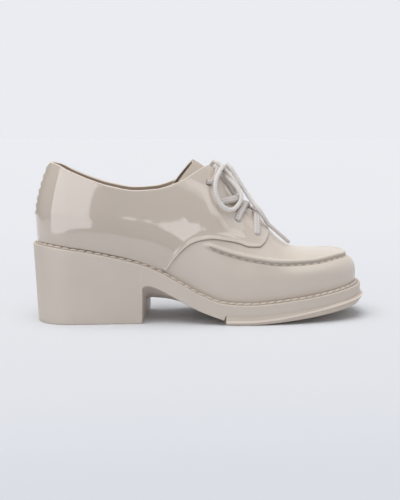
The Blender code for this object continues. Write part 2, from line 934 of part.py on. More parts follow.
def on_flap(side, x, inset, depth):
    """Middle of a lace beside the flap's edge at x, on top of the flap or a depth below that."""
    lift = QUARTER_STEP + LACE_DIAMETER / 2 + LACE_CLEAR
    return Vector(on_form(side, x, throat_half(x) + inset, lift - depth))


def over_hole(pair, side):
    """Middle of a lace where it enters a lace hole."""
    point, normal = eyelet_places()[2 * pair + (1 if side > 0 else 0)]
    return point + normal * (LACE_DIAMETER / 2 + LACE_CLEAR)


def cross_route(side, pair, edge, tuck):
    """Lace from a hole over its own flap's edge, across the tongue and under the other flap's edge."""
    hole = over_hole(pair, side)
    under = QUARTER_STEP + WALL + LACE_DIAMETER + 2 * LACE_CLEAR
    return [hole, on_flap(side, hole.x + edge / 2, FLAP_MIDDLE, 0.0), on_flap(side, hole.x + edge, 0.0, 0.0),
            on_flap(-side, hole.x + tuck, LACE_TUCK, under)]


def bar_route(pair, edge):
    """Lace from hole to hole of a pair, over both flap edges."""
    halves = []
    for side in (-1, 1):
        hole = over_hole(pair, side)
        halves.append([hole, on_flap(side, hole.x + edge / 2, FLAP_MIDDLE, 0.0),
                       on_flap(side, hole.x + edge, 0.0, 0.0)])
    return halves[0] + halves[1][::-1]


def make_lace_cross(name, row, collection, cutters):
    """The two laces that cross between one pair of holes and the next, joined into one solid."""
    meshes = []
    for side in (-1, 1):
        curve = cord_curve(name, cross_route(side, *row), LACE_DIAMETER)
        collection.objects.link(curve)
        meshes.append(curve_to_mesh(curve))
    cross = add_object(name, meshes[0], collection, CORD)
    other = bpy.data.objects.new(name + "_other", meshes[1])
    cutters.objects.link(other)
    other.hide_render = True
    other.display_type = "WIRE"
    join = cross.modifiers.new("join", "BOOLEAN")
    join.operation = "UNION"
    join.object = other
    return cross


def make_knot(collection):
    """Plain rounded solid of the bow's knot."""
    bm = bmesh.new()
    bmesh.ops.create_uvsphere(bm, u_segments=KNOT_SIDES, v_segments=KNOT_RINGS, radius=0.5)
    middle = mix(Vector(LOOP_NEAR[0]), Vector(LOOP_FAR[-1]), 0.5)
    for vert in bm.verts:
        offset = Vector(c * s for c, s in zip(vert.co, KNOT_SIZE))
        vert.co = place(middle + offset)
    return add_object("lace_knot", finish_mesh("lace_knot", bm), collection, CORD)


def clear_scene():
    for obj in list(bpy.data.objects):
        bpy.data.objects.remove(obj)


def new_collection(name):
    collection = bpy.data.collections.new(name)
    bpy.context.scene.collection.children.link(collection)
    return collection


def main():
    clear_scene()
    shoe = new_collection("lace_up_shoe")
    cutters = new_collection("cutters")
    make_sole(shoe)
    make_tread(shoe)
    make_upper(shoe, cutters)
    make_tongue(shoe)
    make_insole(shoe)
    for name, row in zip(("lace_cross_upper", "lace_cross_lower"), CROSSINGS.rows):
        make_lace_cross(name, row, shoe, cutters)
    for name, row in zip(("lace_bar_top", "lace_bar_front"), BARS.rows):
        add_cord(name, bar_route(*row), LACE_DIAMETER, shoe, CORD)
    make_knot(shoe)
    for name, route in (("lace_loop_near", LOOP_NEAR), ("lace_loop_far", LOOP_FAR),
                        ("lace_end_near", END_NEAR), ("lace_end_far", END_FAR)):
        add_cord(name, route, LACE_DIAMETER, shoe, CORD)
    for name, lace, tip in (("aglet_near", END_NEAR, AGLET_TIP_NEAR), ("aglet_far", END_FAR, AGLET_TIP_FAR)):
        add_cord(name, aglet_route(lace, tip), AGLET_DIAMETER, shoe, TIP)


main()
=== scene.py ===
"""Looks of the lace-up shoe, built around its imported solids.

The shoe's own tables and functions are those of its solids, in millimetres: x from the back of the
heel rim to the toe, y from the outer side of the foot (negative) to the inner side, z up.
"""

import math
from collections import namedtuple

import bmesh
import bpy
import numpy as np
from mathutils import Matrix, Vector

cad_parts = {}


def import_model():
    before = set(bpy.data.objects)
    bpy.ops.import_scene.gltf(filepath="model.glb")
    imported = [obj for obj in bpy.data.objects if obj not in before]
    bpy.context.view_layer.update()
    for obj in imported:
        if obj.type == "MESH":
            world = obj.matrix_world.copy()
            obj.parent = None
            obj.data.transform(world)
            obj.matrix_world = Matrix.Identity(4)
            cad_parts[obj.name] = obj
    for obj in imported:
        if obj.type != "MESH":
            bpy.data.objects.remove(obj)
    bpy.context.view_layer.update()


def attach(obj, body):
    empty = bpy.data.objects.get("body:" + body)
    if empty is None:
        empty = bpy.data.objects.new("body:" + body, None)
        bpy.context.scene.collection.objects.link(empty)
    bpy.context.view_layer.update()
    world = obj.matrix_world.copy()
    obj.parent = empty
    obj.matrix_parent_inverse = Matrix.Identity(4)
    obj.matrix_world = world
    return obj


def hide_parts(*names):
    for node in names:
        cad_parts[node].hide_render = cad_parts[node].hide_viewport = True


MM = 0.001
GAP = 0.3
SEAT_GAP = 0.45

# Plan of the sole's rim
RIM_LENGTH = 261.0
HEEL_X = 33.0
BALL_X = 180.0
TOE_PIVOT = 214.0
HEEL_POWER = 2.3
TOE_POWER = 2.6
SWING = 5.0
SWING_X = 130.0

# Rim, side wall and underside of the sole
LEDGE = 4.6
LEDGE_RISE = 2.0
LIP_WIDTH = 1.6
LIP_DEPTH = 0.5
EDGE_ROUND = 0.8
HEEL_TAPER = 2.6
BREAST_X = 87.6
BREAST_SKEW = 4.4
BREAST_REACH = 30.0
TREAD_X = 147.6
TREAD_THICKNESS = 7.0
FLAT_END = 164.0
SPRING = 12.0
SPRING_POWER = 1.4
SIDE_FLARE = 0.9
TOE_FLARE = 2.9
LIP_DROP = 1.3
SIDE_BEVEL = 1.2
TOE_BEVEL = 3.6

# Upper, tongue and insole
CROWN_EASE = 0.3
WALL = 1.6
QUARTER_STEP = 1.4
QUARTER_BACK = 100.0
QUARTER_FRONT = 187.0
FLAP_TOP = 141.0
THROAT_BASE = 181.0
THROAT_ROUND = 8.0
THROAT_TOP_GAP = 10.5
THROAT_FRONT_GAP = 7.5
THROAT_EDGE = 0.6
RIDGE_HEIGHT = 1.2
RIDGE_BACK = 128.0
RIDGE_FADE = 12.0
GROOVE_DEPTH = 0.9
GROOVE_RUN = 2.2
RIDGE_RUN = 2.0
EYELET_DIAMETER = 5.0
HOLE_REACH = 15.0
TONGUE_THICKNESS = 1.8
TONGUE_HALF = 21.5
TONGUE_FRONT = 190.0
TONGUE_TOP = 126.2
TONGUE_CORNERS = {-1: 112.5, 1: 106.0}
TONGUE_END_POWERS = {-1: 2.95, 1: 2.2}
INSOLE_THICKNESS = 2.4
INSOLE_CLEAR = 0.7

# Lace
LACE_DIAMETER = 3.4
LACE_CLEAR = 0.8
LACE_TUCK = 2.0
FLAP_MIDDLE = 7.5
AGLET_DIAMETER = 3.0

Table = namedtuple("Table", "columns rows")

# Half widths of the rim on the two sides of the middle line
PLAN = Table("x lateral medial", (
    (33, 31.0, 31.0),
    (60, 31.6, 30.6),
    (90, 32.4, 28.6),
    (120, 36.6, 30.6),
    (150, 42.0, 37.4),
    (180, 44.0, 43.0),
))

# Height of the rim over the forefoot's own curve, and the wall of the upper above it
PROFILE = Table("x rim bulge rise power", (
    (0, 61.0, 0.9, 22.0, 1.40),
    (33, 57.2, 1.4, 24.0, 1.40),
    (60, 52.0, 2.0, 24.0, 1.40),
    (85, 45.4, 2.4, 24.0, 1.42),
    (100, 38.8, 3.0, 23.0, 1.42),
    (115, 30.4, 3.0, 23.0, 1.42),
    (130, 22.2, 3.0, 22.0, 1.42),
    (145, 16.8, 2.8, 21.0, 1.42),
    (160, 15.4, 2.6, 18.0, 1.52),
    (175, 15.2, 2.6, 16.0, 1.68),
    (195, 15.2, 2.4, 13.0, 2.00),
    (214, 15.2, 1.8, 10.0, 2.40),
    (261, 15.2, 0.4, 5.0, 2.80),
))

# Crown of the closed form along the middle line
CROWN = Table("x height", (
    (33, 142.0),
    (60, 146.0),
    (85, 149.0),
    (105, 142.0),
    (118, 136.0),
    (133, 128.0),
    (141, 120.5),
    (147, 111.0),
    (153, 101.6),
    (161, 92.6),
    (167, 88.0),
    (172, 84.2),
    (178, 78.6),
    (184, 72.2),
    (189, 66.4),
    (195, 61.0),
    (204, 56.0),
    (214, 54.2),
))

# Collar edge, from the back of the heel to the top of the lacing
COLLAR = Table("x height", (
    (10, 124.0),
    (20, 122.0),
    (30, 116.9),
    (45, 110.4),
    (60, 105.6),
    (80, 102.3),
    (95, 103.2),
    (114, 109.0),
    (133, 119.3),
    (141, 121.6),
))

# Lower and front edge of the quarter over the vamp
QUARTER_EDGE = Table("x height", (
    (100, 40.0),
    (107, 49.0),
    (113, 56.0),
    (120, 61.8),
    (128, 64.7),
    (137, 65.8),
    (147, 64.5),
    (157, 62.3),
    (166, 59.4),
    (173, 59.1),
    (178, 61.8),
    (182, 66.5),
    (187, 76.0),
))

# Ridge of the apron seam
RIDGE = Table("x height", (
    (128, 62.2),
    (136, 60.4),
    (147, 56.7),
    (161, 52.6),
    (174, 50.0),
    (185, 48.2),
    (197, 47.1),
    (206, 46.8),
    (218, 47.2),
    (232, 48.4),
    (246, 49.4),
    (261, 49.8),
))

# Underside of the waist: at the side wall and along the middle
WAIST = Table("x edge belly", (
    (88, 29.6, 15.4),
    (103, 23.6, 14.4),
    (116, 16.2, 11.6),
    (129, 9.9, 8.0),
    (140, 5.8, 5.2),
    (148, 3.6, 3.6),
))

# How far the tongue's middle lies below the closed form, besides the wall
TONGUE_SINK = Table("x depth", (
    (128, 5.6),
    (141, 5.2),
    (155, 6.2),
    (176, 6.0),
    (188, 0.0),
))

# Lace holes on each side, from the top pair to the front pair
EYELETS = Table("x height", (
    (135.7, 108.4),
    (145.2, 93.8),
    (157.7, 80.6),
    (172.2, 70.1),
))

# How far forward of its hole each lace crosses its own flap's edge and ends under the other flap
CROSSINGS = Table("pair edge tuck", (
    (1, 16.5, 19.5),
    (2, 9.0, 14.0),
))

# How far forward of its holes each straight lace crosses the flap edges
BARS = Table("pair edge", (
    (0, 7.0),
    (3, 3.0),
))

# Where the upper's lines lie beside its features: shares of a length, and the run to reach them
QUARTER_FOOT = 1.5
HEEL_ROW = 0.42
HEEL_ROW_RUN = 50.0
VAMP_ROW_RUN = 18.0

# Points worked out along a rim, a section and a cord
RIM_POINTS = 400
SECTION_POINTS = 500
CORD_POINTS = 12
NEIGHBOUR = 1.0
TINY = 1e-6
MOST_STRETCH = 2.0

# Route of the bow, in the shoe's own millimetres: each row is one point
LOOP_NEAR = (
    (148.6, -6.4, 119.6),
    (144.8, -19.4, 117.4),
    (140.6, -27.0, 109.8),
    (140.2, -30.0, 100.6),
    (143.0, -30.8, 93.2),
    (148.4, -30.4, 88.2),
    (154.2, -26.5, 87.6),
    (159.0, -21.4, 91.2),
    (161.2, -18.6, 96.2),
    (159.6, -15.8, 101.2),
    (155.6, -11.8, 106.4),
    (150.6, -6.8, 111.6),
)
LOOP_FAR = (
    (146.8, 5.4, 120.8),
    (143.0, 14.0, 122.2),
    (140.0, 22.6, 114.0),
    (140.6, 26.6, 101.0),
    (145.0, 28.8, 91.6),
    (151.4, 27.8, 87.2),
    (158.4, 25.4, 90.2),
    (161.6, 18.4, 97.6),
    (157.8, 11.4, 105.0),
    (151.6, 6.0, 111.8),
)
END_NEAR = (
    (152.4, -3.8, 120.6),
    (155.0, -6.6, 117.4),
    (159.0, -8.4, 110.6),
    (165.2, -10.4, 100.8),
    (170.8, -14.8, 91.8),
    (175.4, -17.8, 86.2),
    (179.6, -17.4, 79.8),
    (183.2, -15.8, 74.6),
)
END_FAR = (
    (150.8, 4.2, 119.6),
    (154.8, 12.0, 113.2),
    (159.0, 20.8, 103.4),
    (162.8, 27.4, 92.4),
    (167.0, 31.6, 81.4),
    (171.6, 34.2, 71.4),
    (176.4, 35.6, 63.8),
)
AGLET_TIP_NEAR = (201.0, -9.6, 59.5)
AGLET_TIP_FAR = (188.6, 39.6, 50.0)

# Fine meshes: spacing of the columns and rows
HEEL_COLUMNS = 30
TOE_COLUMNS = 44
TREAD_BACK = 147.3
STATIONS = Table("start end steps", (
    (33, 125, 56),
    (125, 191, 82),
    (191, 214, 22),
))
SOLE_STATIONS = Table("start end steps", (
    (33, 87.59, 40),
    (88.2, 92.6, 11),
    (92.6, 147.0, 40),
    (TREAD_BACK, 214, 50),
))
TREAD_STATIONS = Table("start end steps", (
    (TREAD_BACK, 148.1, 4),
    (148.1, 214, 48),
))
INSOLE_STATIONS = Table("start end steps", (
    (33, 214, 90),
))
SIDE_FACES = 16
SEAM_FACES = 18
VAMP_FACES = 5
QUARTER_FACES = 30
INSIDE_FACES = 26
SOLE_FACES = 14
ROUND_FACES = 6
TREAD_POINTS = 12
COVE_POINTS = 9
BEVEL_POINTS = 7
INSOLE_POINTS = (10, 6)
TONGUE_ACROSS = 16
TONGUE_FACES = 56
TONGUE_SPREAD = 0.8
HOLE_SIDES = 40
WELD = 0.002
SHARP = 40.0
SHARP_SOLE = 50.0
SHARP_LACE = 50.0
SHARP_SHEET = 60.0

# Apron seam, softened
SEAM_MARGIN = 2.2
SEAM_SHARES = (0.45, 0.85)
SEAM_ROOM = 0.6
SEAM_SEEN = 0.5
RIDGE_BROAD = 1.45
RIDGE_LIFT = 1.75
GROOVE_LIFT = 1.3
GROOVE_BROAD = 0.95

# Edges of the quarter, as a distance along the form and a share of the quarter's height
STEP_SHAPE = (
    (-1.0, 0.0),
    (-0.45, 0.0),
    (-0.16, -0.10),
    (-0.02, -0.06),
    (0.02, 0.55),
    (0.10, 0.82),
    (0.26, 0.95),
    (0.6, 1.0),
)
FLAP_SHAPE = ((-0.9, 1.0), (-0.5, 0.96), (-0.24, 0.85), (-0.09, 0.66), (-0.01, 0.40), (0.0, 0.12))
FLAP_MARGIN = 2.2
FRONT_ROW = 0.35
STEP_START = 0.2
STEP_FADE = 1.3
STEP_SEEN = 0.5
ROLL_HEIGHT = 0.35
ROLL_RUN = 2.4
ROLL_BROAD = 2.6
LIP_HEIGHT = 0.35
LIP_BROAD = 1.1
LIP_BACK = 1.3

# Edge of the wall at collar and throat: from the flap to the edge, round it, and where the inside starts
BRIM_SHAPE = ((0.4, 0.0), (0.9, 0.1), (1.0, 0.35))
WALL_TURN = ((0.0, 0.75), (0.25, 0.95))
WALL_START = 0.7
TURN_FACES = len(WALL_TURN) + 1

# Ribs down the back of the heel
RIB_TOP = 121.0
RIB_LOW = 80.0
RIB_PITCH = 5.6
RIB_HEIGHT = 0.75
RIB_HALF_ANGLE = 26.0
RIB_FADE_ANGLE = 8.0
RIB_FADE = 4.0
RIB_ROUND = 0.7

# Swellings and hollows of the upper: middle, half spans and height
SWELLS = Table("x z run_x run_z height", (
    (48, 88, 34, 60, 1.0),
    (88, 72, 40, 44, 0.6),
    (236, 57.0, 34, 7.0, -2.0),
))

# Sole: the channel beside the rim's lip, the seat of the upper and the round in front of the heel
# Faces of the channel, which take the channel look of painted shade
CHANNEL_FACES = range(2, 9)
CHANNEL_FOOT = 0.7
CHANNEL_POWER = 0.8
CHANNEL_SHARES = (0.25, 0.5, 0.75, 1.0)
LIP_SHAPE = ((-0.45, LIP_DEPTH), (-0.2, 0.35 * LIP_DEPTH), (0.1, 0.06))
SEAT_INSET = 1.0
SEAT_TUCK = 0.1
BREAST_ROUND = 4.0
TREAD_SEAM_ROUND = 0.2

# Tread's edge: the hollow under the sole, the thin lip and the bevel below it
COVE_BACK = 165.0
COVE_TUCK = 0.1
COVE_POWER = 1.7
LIP_LOW = 2.4
LIP_TURN = ((0.05, 0.25), (0.2, 0.45))
# Faces of the tread's lip, which take the edge look, a painted highlight
LIP_FACES = range(18, 22)
BEVEL_SHARES = (0.15, 0.95)
TREAD_START = 0.995

# Insole's edge: shares of its width and thickness
INSOLE_TOP = 0.985
INSOLE_EDGE = 0.8
INSOLE_UNDER = 0.95

# Moulded stitches
WELT_PITCH = 6.1
WELT_STITCH = (5.3, 2.1, 0.9)
WELT_LEAN = 0.8
APRON_PITCH = 6.5
APRON_STITCH = (4.7, 1.5, 0.8)
APRON_DOT = (1.1, 1.3, 0.25)
APRON_LEAN = 0.3
APRON_START = 132.0
WELT_ACROSS = 0.5
BEAD_SEGMENTS = (14, 8)
BEAD_BLUNT = 0.7

# Lace
LACE_SIDES = 20
LACE_RING = 0.5
BRAID_STRANDS = 6
BRAID_PITCH = 5.0
BRAID_HEIGHT = 0.14
BRAID_SINK = 0.7
LACE_PRESS = (1.6, 0.88)
HOLE_LEVELS = (-4.5, -1.2, 0.4)
TIP_OVERLAP = 0.6
TIP_MOUTH = ((0.0, 1.0), (0.2, 1.08), (0.9, 1.09), (1.2, 1.02), (1.7, 1.0))
TIP_END = ((1.0, 0.97), (0.3, 0.94), (0.1, 0.86), (0.0, 0.7))

# Knot: its band, and two strands that run on from it
KNOT_RING = (2.9, 3.4)
KNOT_LEAN = 1.6
KNOT_TURNS = 28
KNOT_OVERLAP = 3
KNOT_TUCK = (
    (147.0, -2.6, 114.6),
    (148.5, -3.0, 111.0),
    (150.7, -3.5, 106.6),
    (153.3, -4.0, 102.0),
    (156.3, -5.0, 97.0),
    (159.4, -5.8, 94.0),
)
TUCK_ACROSS = (0.86, 0.0, 0.5)
TUCK_PRESS = (1.5, 0.8)
KNOT_FOLD = (
    (149.6, -4.4, 118.0),
    (153.2, -7.3, 113.4),
    (156.0, -9.5, 109.5),
    (158.5, -11.2, 105.5),
    (160.6, -12.6, 101.6),
)

# Strands inside the knot, from its middle
LOOP_OVER = ((-0.6, -1.0, 1.6),)
LOOP_UNDER = ((0.4, -1.0, -1.0), (-1.0, 1.5, 1.5))
NEAR_INSIDE = ((1.2, 0.5, 2.6), (-1.0, 2.0, -1.0))
FAR_INSIDE = ((0.5, 1.0, 1.8), (-0.5, -2.0, 0.0))

# Colours
GREIGE = (0.68, 0.60, 0.527)
LACE_LIGHT = (0.92, 0.87, 0.835)
LACE_DARK = (0.80, 0.75, 0.715)
# Crossing laces: a darker copy of the lace colours, painted shade where they lie on the flaps
SHADED_LACE_LIGHT = (0.76, 0.705, 0.672)
SHADED_LACE_DARK = (0.62, 0.57, 0.54)
TIP_COLOUR = (0.79, 0.722, 0.678)

# Moulded plastic: tone and warmth of the colour, then roughness, spread of the colour, grain and its
# depth, clouds and spread of the roughness
LOOKS = Table("look name tone warmth roughness spread grain bump cloud rough_spread", (
    ("quarter", "glossy_quarter", 0.95, 0.01, 0.08, 0.015, 700, 0.010, 18, 0.02),
    ("vamp", "satin_vamp", 1.02, 0.0, 0.36, 0.02, 1500, 0.05, 25, 0.06),
    # Inside of the wall: darker and warmer than the plastic, painted shade and painted warm bounce light
    ("lining", "inside", 0.84, 0.07, 0.6, 0.04, 1200, 0.1, 40, 0.08),
    # Darker look: painted shade in the groove below the apron's ridge and along the foot of the quarter's
    # edge
    ("seam", "seam_groove", 0.70, 0.02, 0.6, 0.05, 1300, 0.1, 60, 0.06),
    # Paler look: painted highlight along the quarter's and flaps' edges, the tongue's cut edge and the
    # tread's lip
    ("edge", "pale_edge", 1.2, 0.0, 0.4, 0.03, 1300, 0.06, 60, 0.06),
    # Dark dots between the apron's stitches: painted shade
    ("dot", "stitch_dot", 0.55, 0.03, 0.7, 0.05, 1300, 0.1, 60, 0.06),
    # Walls of the lace holes: painted shade
    ("hole", "hole_wall", 0.25, 0.05, 0.7, 0.1, 1300, 0.1, 60, 0.06),
    ("sole", "satin_sole", 0.97, 0.0, 0.52, 0.025, 1300, 0.06, 22, 0.06),
    # Channel round the sole's rim: painted shade
    ("channel", "stitched_channel", 0.70, 0.03, 0.6, 0.08, 1300, 0.1, 60, 0.06),
    ("tread", "rubber_tread", 0.93, 0.02, 0.55, 0.03, 1300, 0.08, 25, 0.06),
    ("tongue", "satin_tongue", 0.79, 0.03, 0.45, 0.02, 1300, 0.05, 25, 0.06),
    # Underside of the tongue: painted shade
    ("tongue_back", "tongue_inside", 0.54, 0.06, 0.6, 0.04, 1200, 0.1, 40, 0.08),
    ("insole", "insole_cover", 0.9, 0.04, 0.7, 0.05, 1600, 0.2, 50, 0.08),
    ("stitch", "moulded_stitch", 1.05, 0.0, 0.5, 0.03, 1500, 0.08, 80, 0.05),
))
GLOSS = {"quarter": {"coat": 0.6, "coat_roughness": 0.03}, "vamp": {"specular": 0.6}}
TIP_LOOK = (0.35, 0.03, 1200, 0.05, 60, 0.05)
FLOOR_LOOK = (0.9, 0.004, 400, 0.02, 3, 0.02)
FLOOR_SPECULAR = 0.1
CLOUD_DETAIL = 4.0
CLOUD_ROUGHNESS = 0.55
CLOUD_RANGE = (0.3, 0.7)
GRAIN_DETAIL = 3.0
GRAIN_DEPTH = 0.0004

# Sockets of a node that mixes colours
MIX_FIRST = 6
MIX_SECOND = 7
MIX_RESULT = 2

# Yarn of the lace
LACE_ROUGHNESS = 0.75
LACE_SHEEN = 0.25
WEAVE_ANGLE = 45.0
WEAVE_SCALE = 9.0
FUZZ_SCALE = 2200.0
FUZZ_DETAIL = 2.0
FUZZ_SHARE = 0.12
FUZZ_BUMP = 0.35
FUZZ_DEPTH = 0.0003

# Camera, matched to the photograph
CAMERA_YAW = 5.0
CAMERA_PITCH = 7.85
CAMERA_DISTANCE = 662.0
CAMERA_HEIGHT = 144.0
CAMERA_X = 130.8
CAMERA_LENS = 60.2
SENSOR_HEIGHT = 36.0
CAMERA_CLIP = (0.01, 100.0)

# Stage, in metres: even sky, soft overhead light, and the cards that show in the gloss
FLOOR_SIZE = 60.0
FLOOR_COLOUR = (0.785, 0.798, 0.834)
FLOOR_FADE = (-0.36, 0.60)
FLOOR_TINTS = (
    (0.0, (0.86, 0.88, 0.90)),
    (0.17, (0.925, 0.93, 0.935)),
    (0.33, (0.95, 0.955, 0.96)),
    (0.70, (0.985, 0.986, 0.988)),
    (1.0, (1.0, 1.0, 1.0)),
)
BACKDROP_COLOUR = (0.82, 0.839, 0.876)
SKY_COLOUR = (0.99, 0.995, 1.0)
SKY_STRENGTH = 0.43
GLOSS_SKY = 1.05
SKY_RAYS = (("Is Glossy Ray", SKY_COLOUR, GLOSS_SKY), ("Is Camera Ray", BACKDROP_COLOUR, 1.0))
SUN_STRENGTH = 2.0
SUN_ANGLE = 60.0
SUN_FROM = (-0.2, -0.15, 1.0)
CARDS = Table("name spot aim size strength roll taper", (
    ("back_flag", (0.0, -0.9, 0.37), (0.0, 0.0, 0.37), (4.0, 0.74), 0.03, 0.0, 1.0),
    ("floor_flag", (0.0, -0.90, 0.002), (0.0, -0.90, 1.0), (4.0, 1.22), 0.03, 0.0, 1.0),
    ("left_flag", (-0.75, 0.1, 0.6), (0.0, 0.1, 0.6), (1.4, 1.2), 0.03, 0.0, 1.0),
    ("middle_softbox", (-0.005, -0.34, 0.149), (-0.005, -0.03, 0.149), (0.072, 0.099), 2.6, -51.0, 0.6),
    ("rear_softbox", (-0.262, -0.282, 0.21), (-0.1, -0.032, 0.21), (0.33, 0.80), 2.7, -6.0, 1.0),
    ("front_softbox", (0.224, -0.354, 0.403), (0.008, -0.028, 0.092), (0.24, 0.12), 2.1, 0.0, 1.0),
    ("side_softbox", (0.380, -0.158, 0.401), (0.02, -0.027, 0.08), (0.22, 0.20), 1.5, 0.0, 1.0),
    ("front_flag", (0.258, -0.280, 0.564), (0.034, -0.031, 0.067), (0.36, 0.20), 0.5, 0.0, 1.0),
))

Column = namedtuple("Column", "pivot x dx dy rim")
Section = namedtuple("Section", "column ell r z nr nz")


def flat_end_cubic(xs, ys, x):
    """Monotone cubic through the points (xs, ys), with level ends."""
    xs = np.asarray(xs, float)
    ys = np.asarray(ys, float)
    step = np.diff(xs)
    secant = np.diff(ys) / step
    slope = np.zeros(len(xs))
    for i in range(1, len(xs) - 1):
        if secant[i - 1] * secant[i] > 0:
            before = 2 * step[i] + step[i - 1]
            after = step[i] + 2 * step[i - 1]
            slope[i] = (before + after) / (before / secant[i - 1] + after / secant[i])
    x = np.clip(x, xs[0], xs[-1])
    i = np.clip(np.searchsorted(xs, x) - 1, 0, len(step) - 1)
    t = (x - xs[i]) / step[i]
    rise = ys[i] * (1 + 2 * t) * (1 - t) ** 2 + ys[i + 1] * t * t * (3 - 2 * t)
    return rise + step[i] * (slope[i] * t * (1 - t) ** 2 - slope[i + 1] * t * t * (1 - t))


def read(table, column, x):
    """Value of a table's column at x."""
    names = table.columns.split()
    place = names.index(column)
    return flat_end_cubic([row[0] for row in table.rows], [row[place] for row in table.rows], x)


def smooth(t):
    """Soft step from 0 to 1."""
    t = min(max(t, 0.0), 1.0)
    return t * t * (3 - 2 * t)


def mix(a, b, t):
    return a + (b - a) * t


def round_end(t, power):
    """Half width, as a share, at the share t of the way to a superellipse's end."""
    return np.maximum(0.0, 1 - np.clip(t, 0, 1) ** power) ** (1 / power)


def half_width(side, x):
    """Half width of the rim at x, on the lateral (-1) or medial (1) side."""
    name = "lateral" if side < 0 else "medial"
    heel = round_end((HEEL_X - x) / HEEL_X, HEEL_POWER)
    toe = round_end((x - BALL_X) / (RIM_LENGTH - BALL_X), TOE_POWER)
    return read(PLAN, name, x) * heel * toe


def swing(x):
    """Sideways bend of the whole shoe towards the big toe."""
    return SWING * max(0.0, (x - SWING_X) / (RIM_LENGTH - SWING_X)) ** 2


def spring(x):
    """Rise of the forefoot's underside over the floor."""
    return SPRING * max(0.0, (x - FLAT_END) / (RIM_LENGTH - FLAT_END)) ** SPRING_POWER


def rim_z(x):
    return read(PROFILE, "rim", x) + spring(x)


def feather_z(x):
    """Height of the upper's lower edge."""
    return rim_z(x) + LEDGE_RISE


def column_to(pivot, x, y):
    """Column from the middle line at pivot to the rim point (x, y)."""
    rim = math.hypot(x - pivot, y)
    return Column(pivot, x, (x - pivot) / rim, y / rim, rim)


def fan(pivot, end, side, count):
    """Columns that fan out from a pivot, from the tip of the end round to the side."""
    x = pivot + (end - pivot) * np.sin(np.linspace(0, math.pi / 2, RIM_POINTS))
    y = half_width(side, x)
    angle = np.arctan2(y, np.abs(x - pivot))[::-1]
    radius = np.hypot(y, x - pivot)[::-1]
    ahead = math.copysign(1, end - pivot)
    columns = []
    for k in range(count):
        a = math.pi / 2 * k / count
        rim = np.interp(a, angle, radius)
        columns.append(column_to(pivot, pivot + ahead * rim * math.cos(a), side * rim * math.sin(a)))
    return columns


def straight(side, x, skew=0.0):
    """Column across the shoe at x, turned so that its rim point lies skew further on."""
    reach = x + side * skew
    return column_to(x, reach, side * half_width(side, reach))


def to_xyz(column, r, z):
    x = column.pivot + column.dx * r
    return (x, column.dy * r + swing(x), z)


def crown_round(across, power):
    """Widens a superellipse near its crown, so that a low power gives a round ridge, not a sharp one."""
    ease = max(CROWN_EASE * (2 - power), TINY)
    span = math.sqrt(1 + ease * ease) - ease
    return np.sqrt((across * span + ease) ** 2 - ease * ease)


def half_section(column):
    """Outside of the closed form along a column, from the feather edge to the crown."""
    feather = column.rim - LEDGE
    bulge = feather + read(PROFILE, "bulge", column.x)
    low = feather_z(column.x)
    middle = low + read(PROFILE, "rise", column.x)
    crown = read(CROWN, "height", column.pivot)
    power = read(PROFILE, "power", column.x)
    share = np.linspace(0, 1, SECTION_POINTS)
    angle = np.linspace(0, math.pi / 2, SECTION_POINTS)[1:]
    across = crown_round(np.append(np.cos(angle[:-1]), 0.0) ** (2 / power), power)
    r = np.concatenate([bulge - (bulge - feather) * (1 - share) ** 2, bulge * across])
    z = np.concatenate([mix(low, middle, share), mix(middle, crown, np.sin(angle) ** (2 / power))])
    length = np.concatenate([[0.0], np.cumsum(np.hypot(np.diff(r), np.diff(z)))])
    ell = np.linspace(0, length[-1], SECTION_POINTS)
    r = np.interp(ell, length, r)
    z = np.interp(ell, length, z)
    return Section(column, ell, r, z, np.gradient(z, ell), -np.gradient(r, ell))


def true_normals(before, here, after):
    """Section whose in-plane normals are stretched so that an offset is a true thickness."""
    def points(section):
        c = section.column
        return np.stack([c.pivot + c.dx * section.r, c.dy * section.r, section.z], axis=1)

    along = points(after) - points(before)
    c = here.column
    tangent_r = -here.nz
    tangent = np.stack([c.dx * tangent_r, c.dy * tangent_r, here.nr], axis=1)
    normal = np.cross(along, tangent)
    size = np.linalg.norm(normal, axis=1)
    normal = normal / np.maximum(size, TINY)[:, None]
    inside = np.hypot(normal[:, 0] * c.dx + normal[:, 1] * c.dy, normal[:, 2])
    stretch = np.where(size > TINY, np.minimum(1 / np.maximum(inside, TINY), MOST_STRETCH), 1.0)
    return here._replace(nr=here.nr * stretch, nz=here.nz * stretch)


def sections_round(columns):
    """Sections of the closed form along a closed loop of columns."""
    plain = [half_section(c) for c in columns]
    count = len(plain)
    return [true_normals(plain[i - 1], plain[i], plain[(i + 1) % count]) for i in range(count)]


def section_at(side, x):
    """Section of the closed form straight across the shoe at any x."""
    before, here, after = (half_section(straight(side, x + d)) for d in (-NEIGHBOUR, 0.0, NEIGHBOUR))
    return true_normals(before, here, after)


def ell_at_z(section, z):
    return float(np.interp(z, section.z, section.ell))


def ell_at_r(section, r):
    """Length along the section to where it comes in to the radius r on its upper part."""
    top = int(np.argmax(section.r))
    return float(np.interp(-r, -section.r[top:], section.ell[top:]))


def on_section(section, ell, offset):
    """Radius and height at a length along the section, moved out by offset."""
    r, z, nr, nz = (np.interp(ell, section.ell, row) for row in section[2:])
    return max(0.0, r + offset * nr), z + offset * nz


def on_form(side, x, r, offset):
    """Point over the closed form at x and at the radius r from the middle line."""
    section = section_at(side, x)
    return to_xyz(section.column, *on_section(section, ell_at_r(section, r), offset))


def throat_half(x):
    """Half width between the two lacing flaps."""
    return mix(THROAT_TOP_GAP, THROAT_FRONT_GAP, (x - FLAP_TOP) / (QUARTER_FRONT - FLAP_TOP))


def opening_half(x):
    """Half width of the throat's opening, which ends in a round at its base."""
    wide = throat_half(x) - THROAT_EDGE
    run = min(max((x - THROAT_BASE + THROAT_ROUND) / THROAT_ROUND, 0.0), 1.0)
    return wide * math.sqrt(1 - run * run)


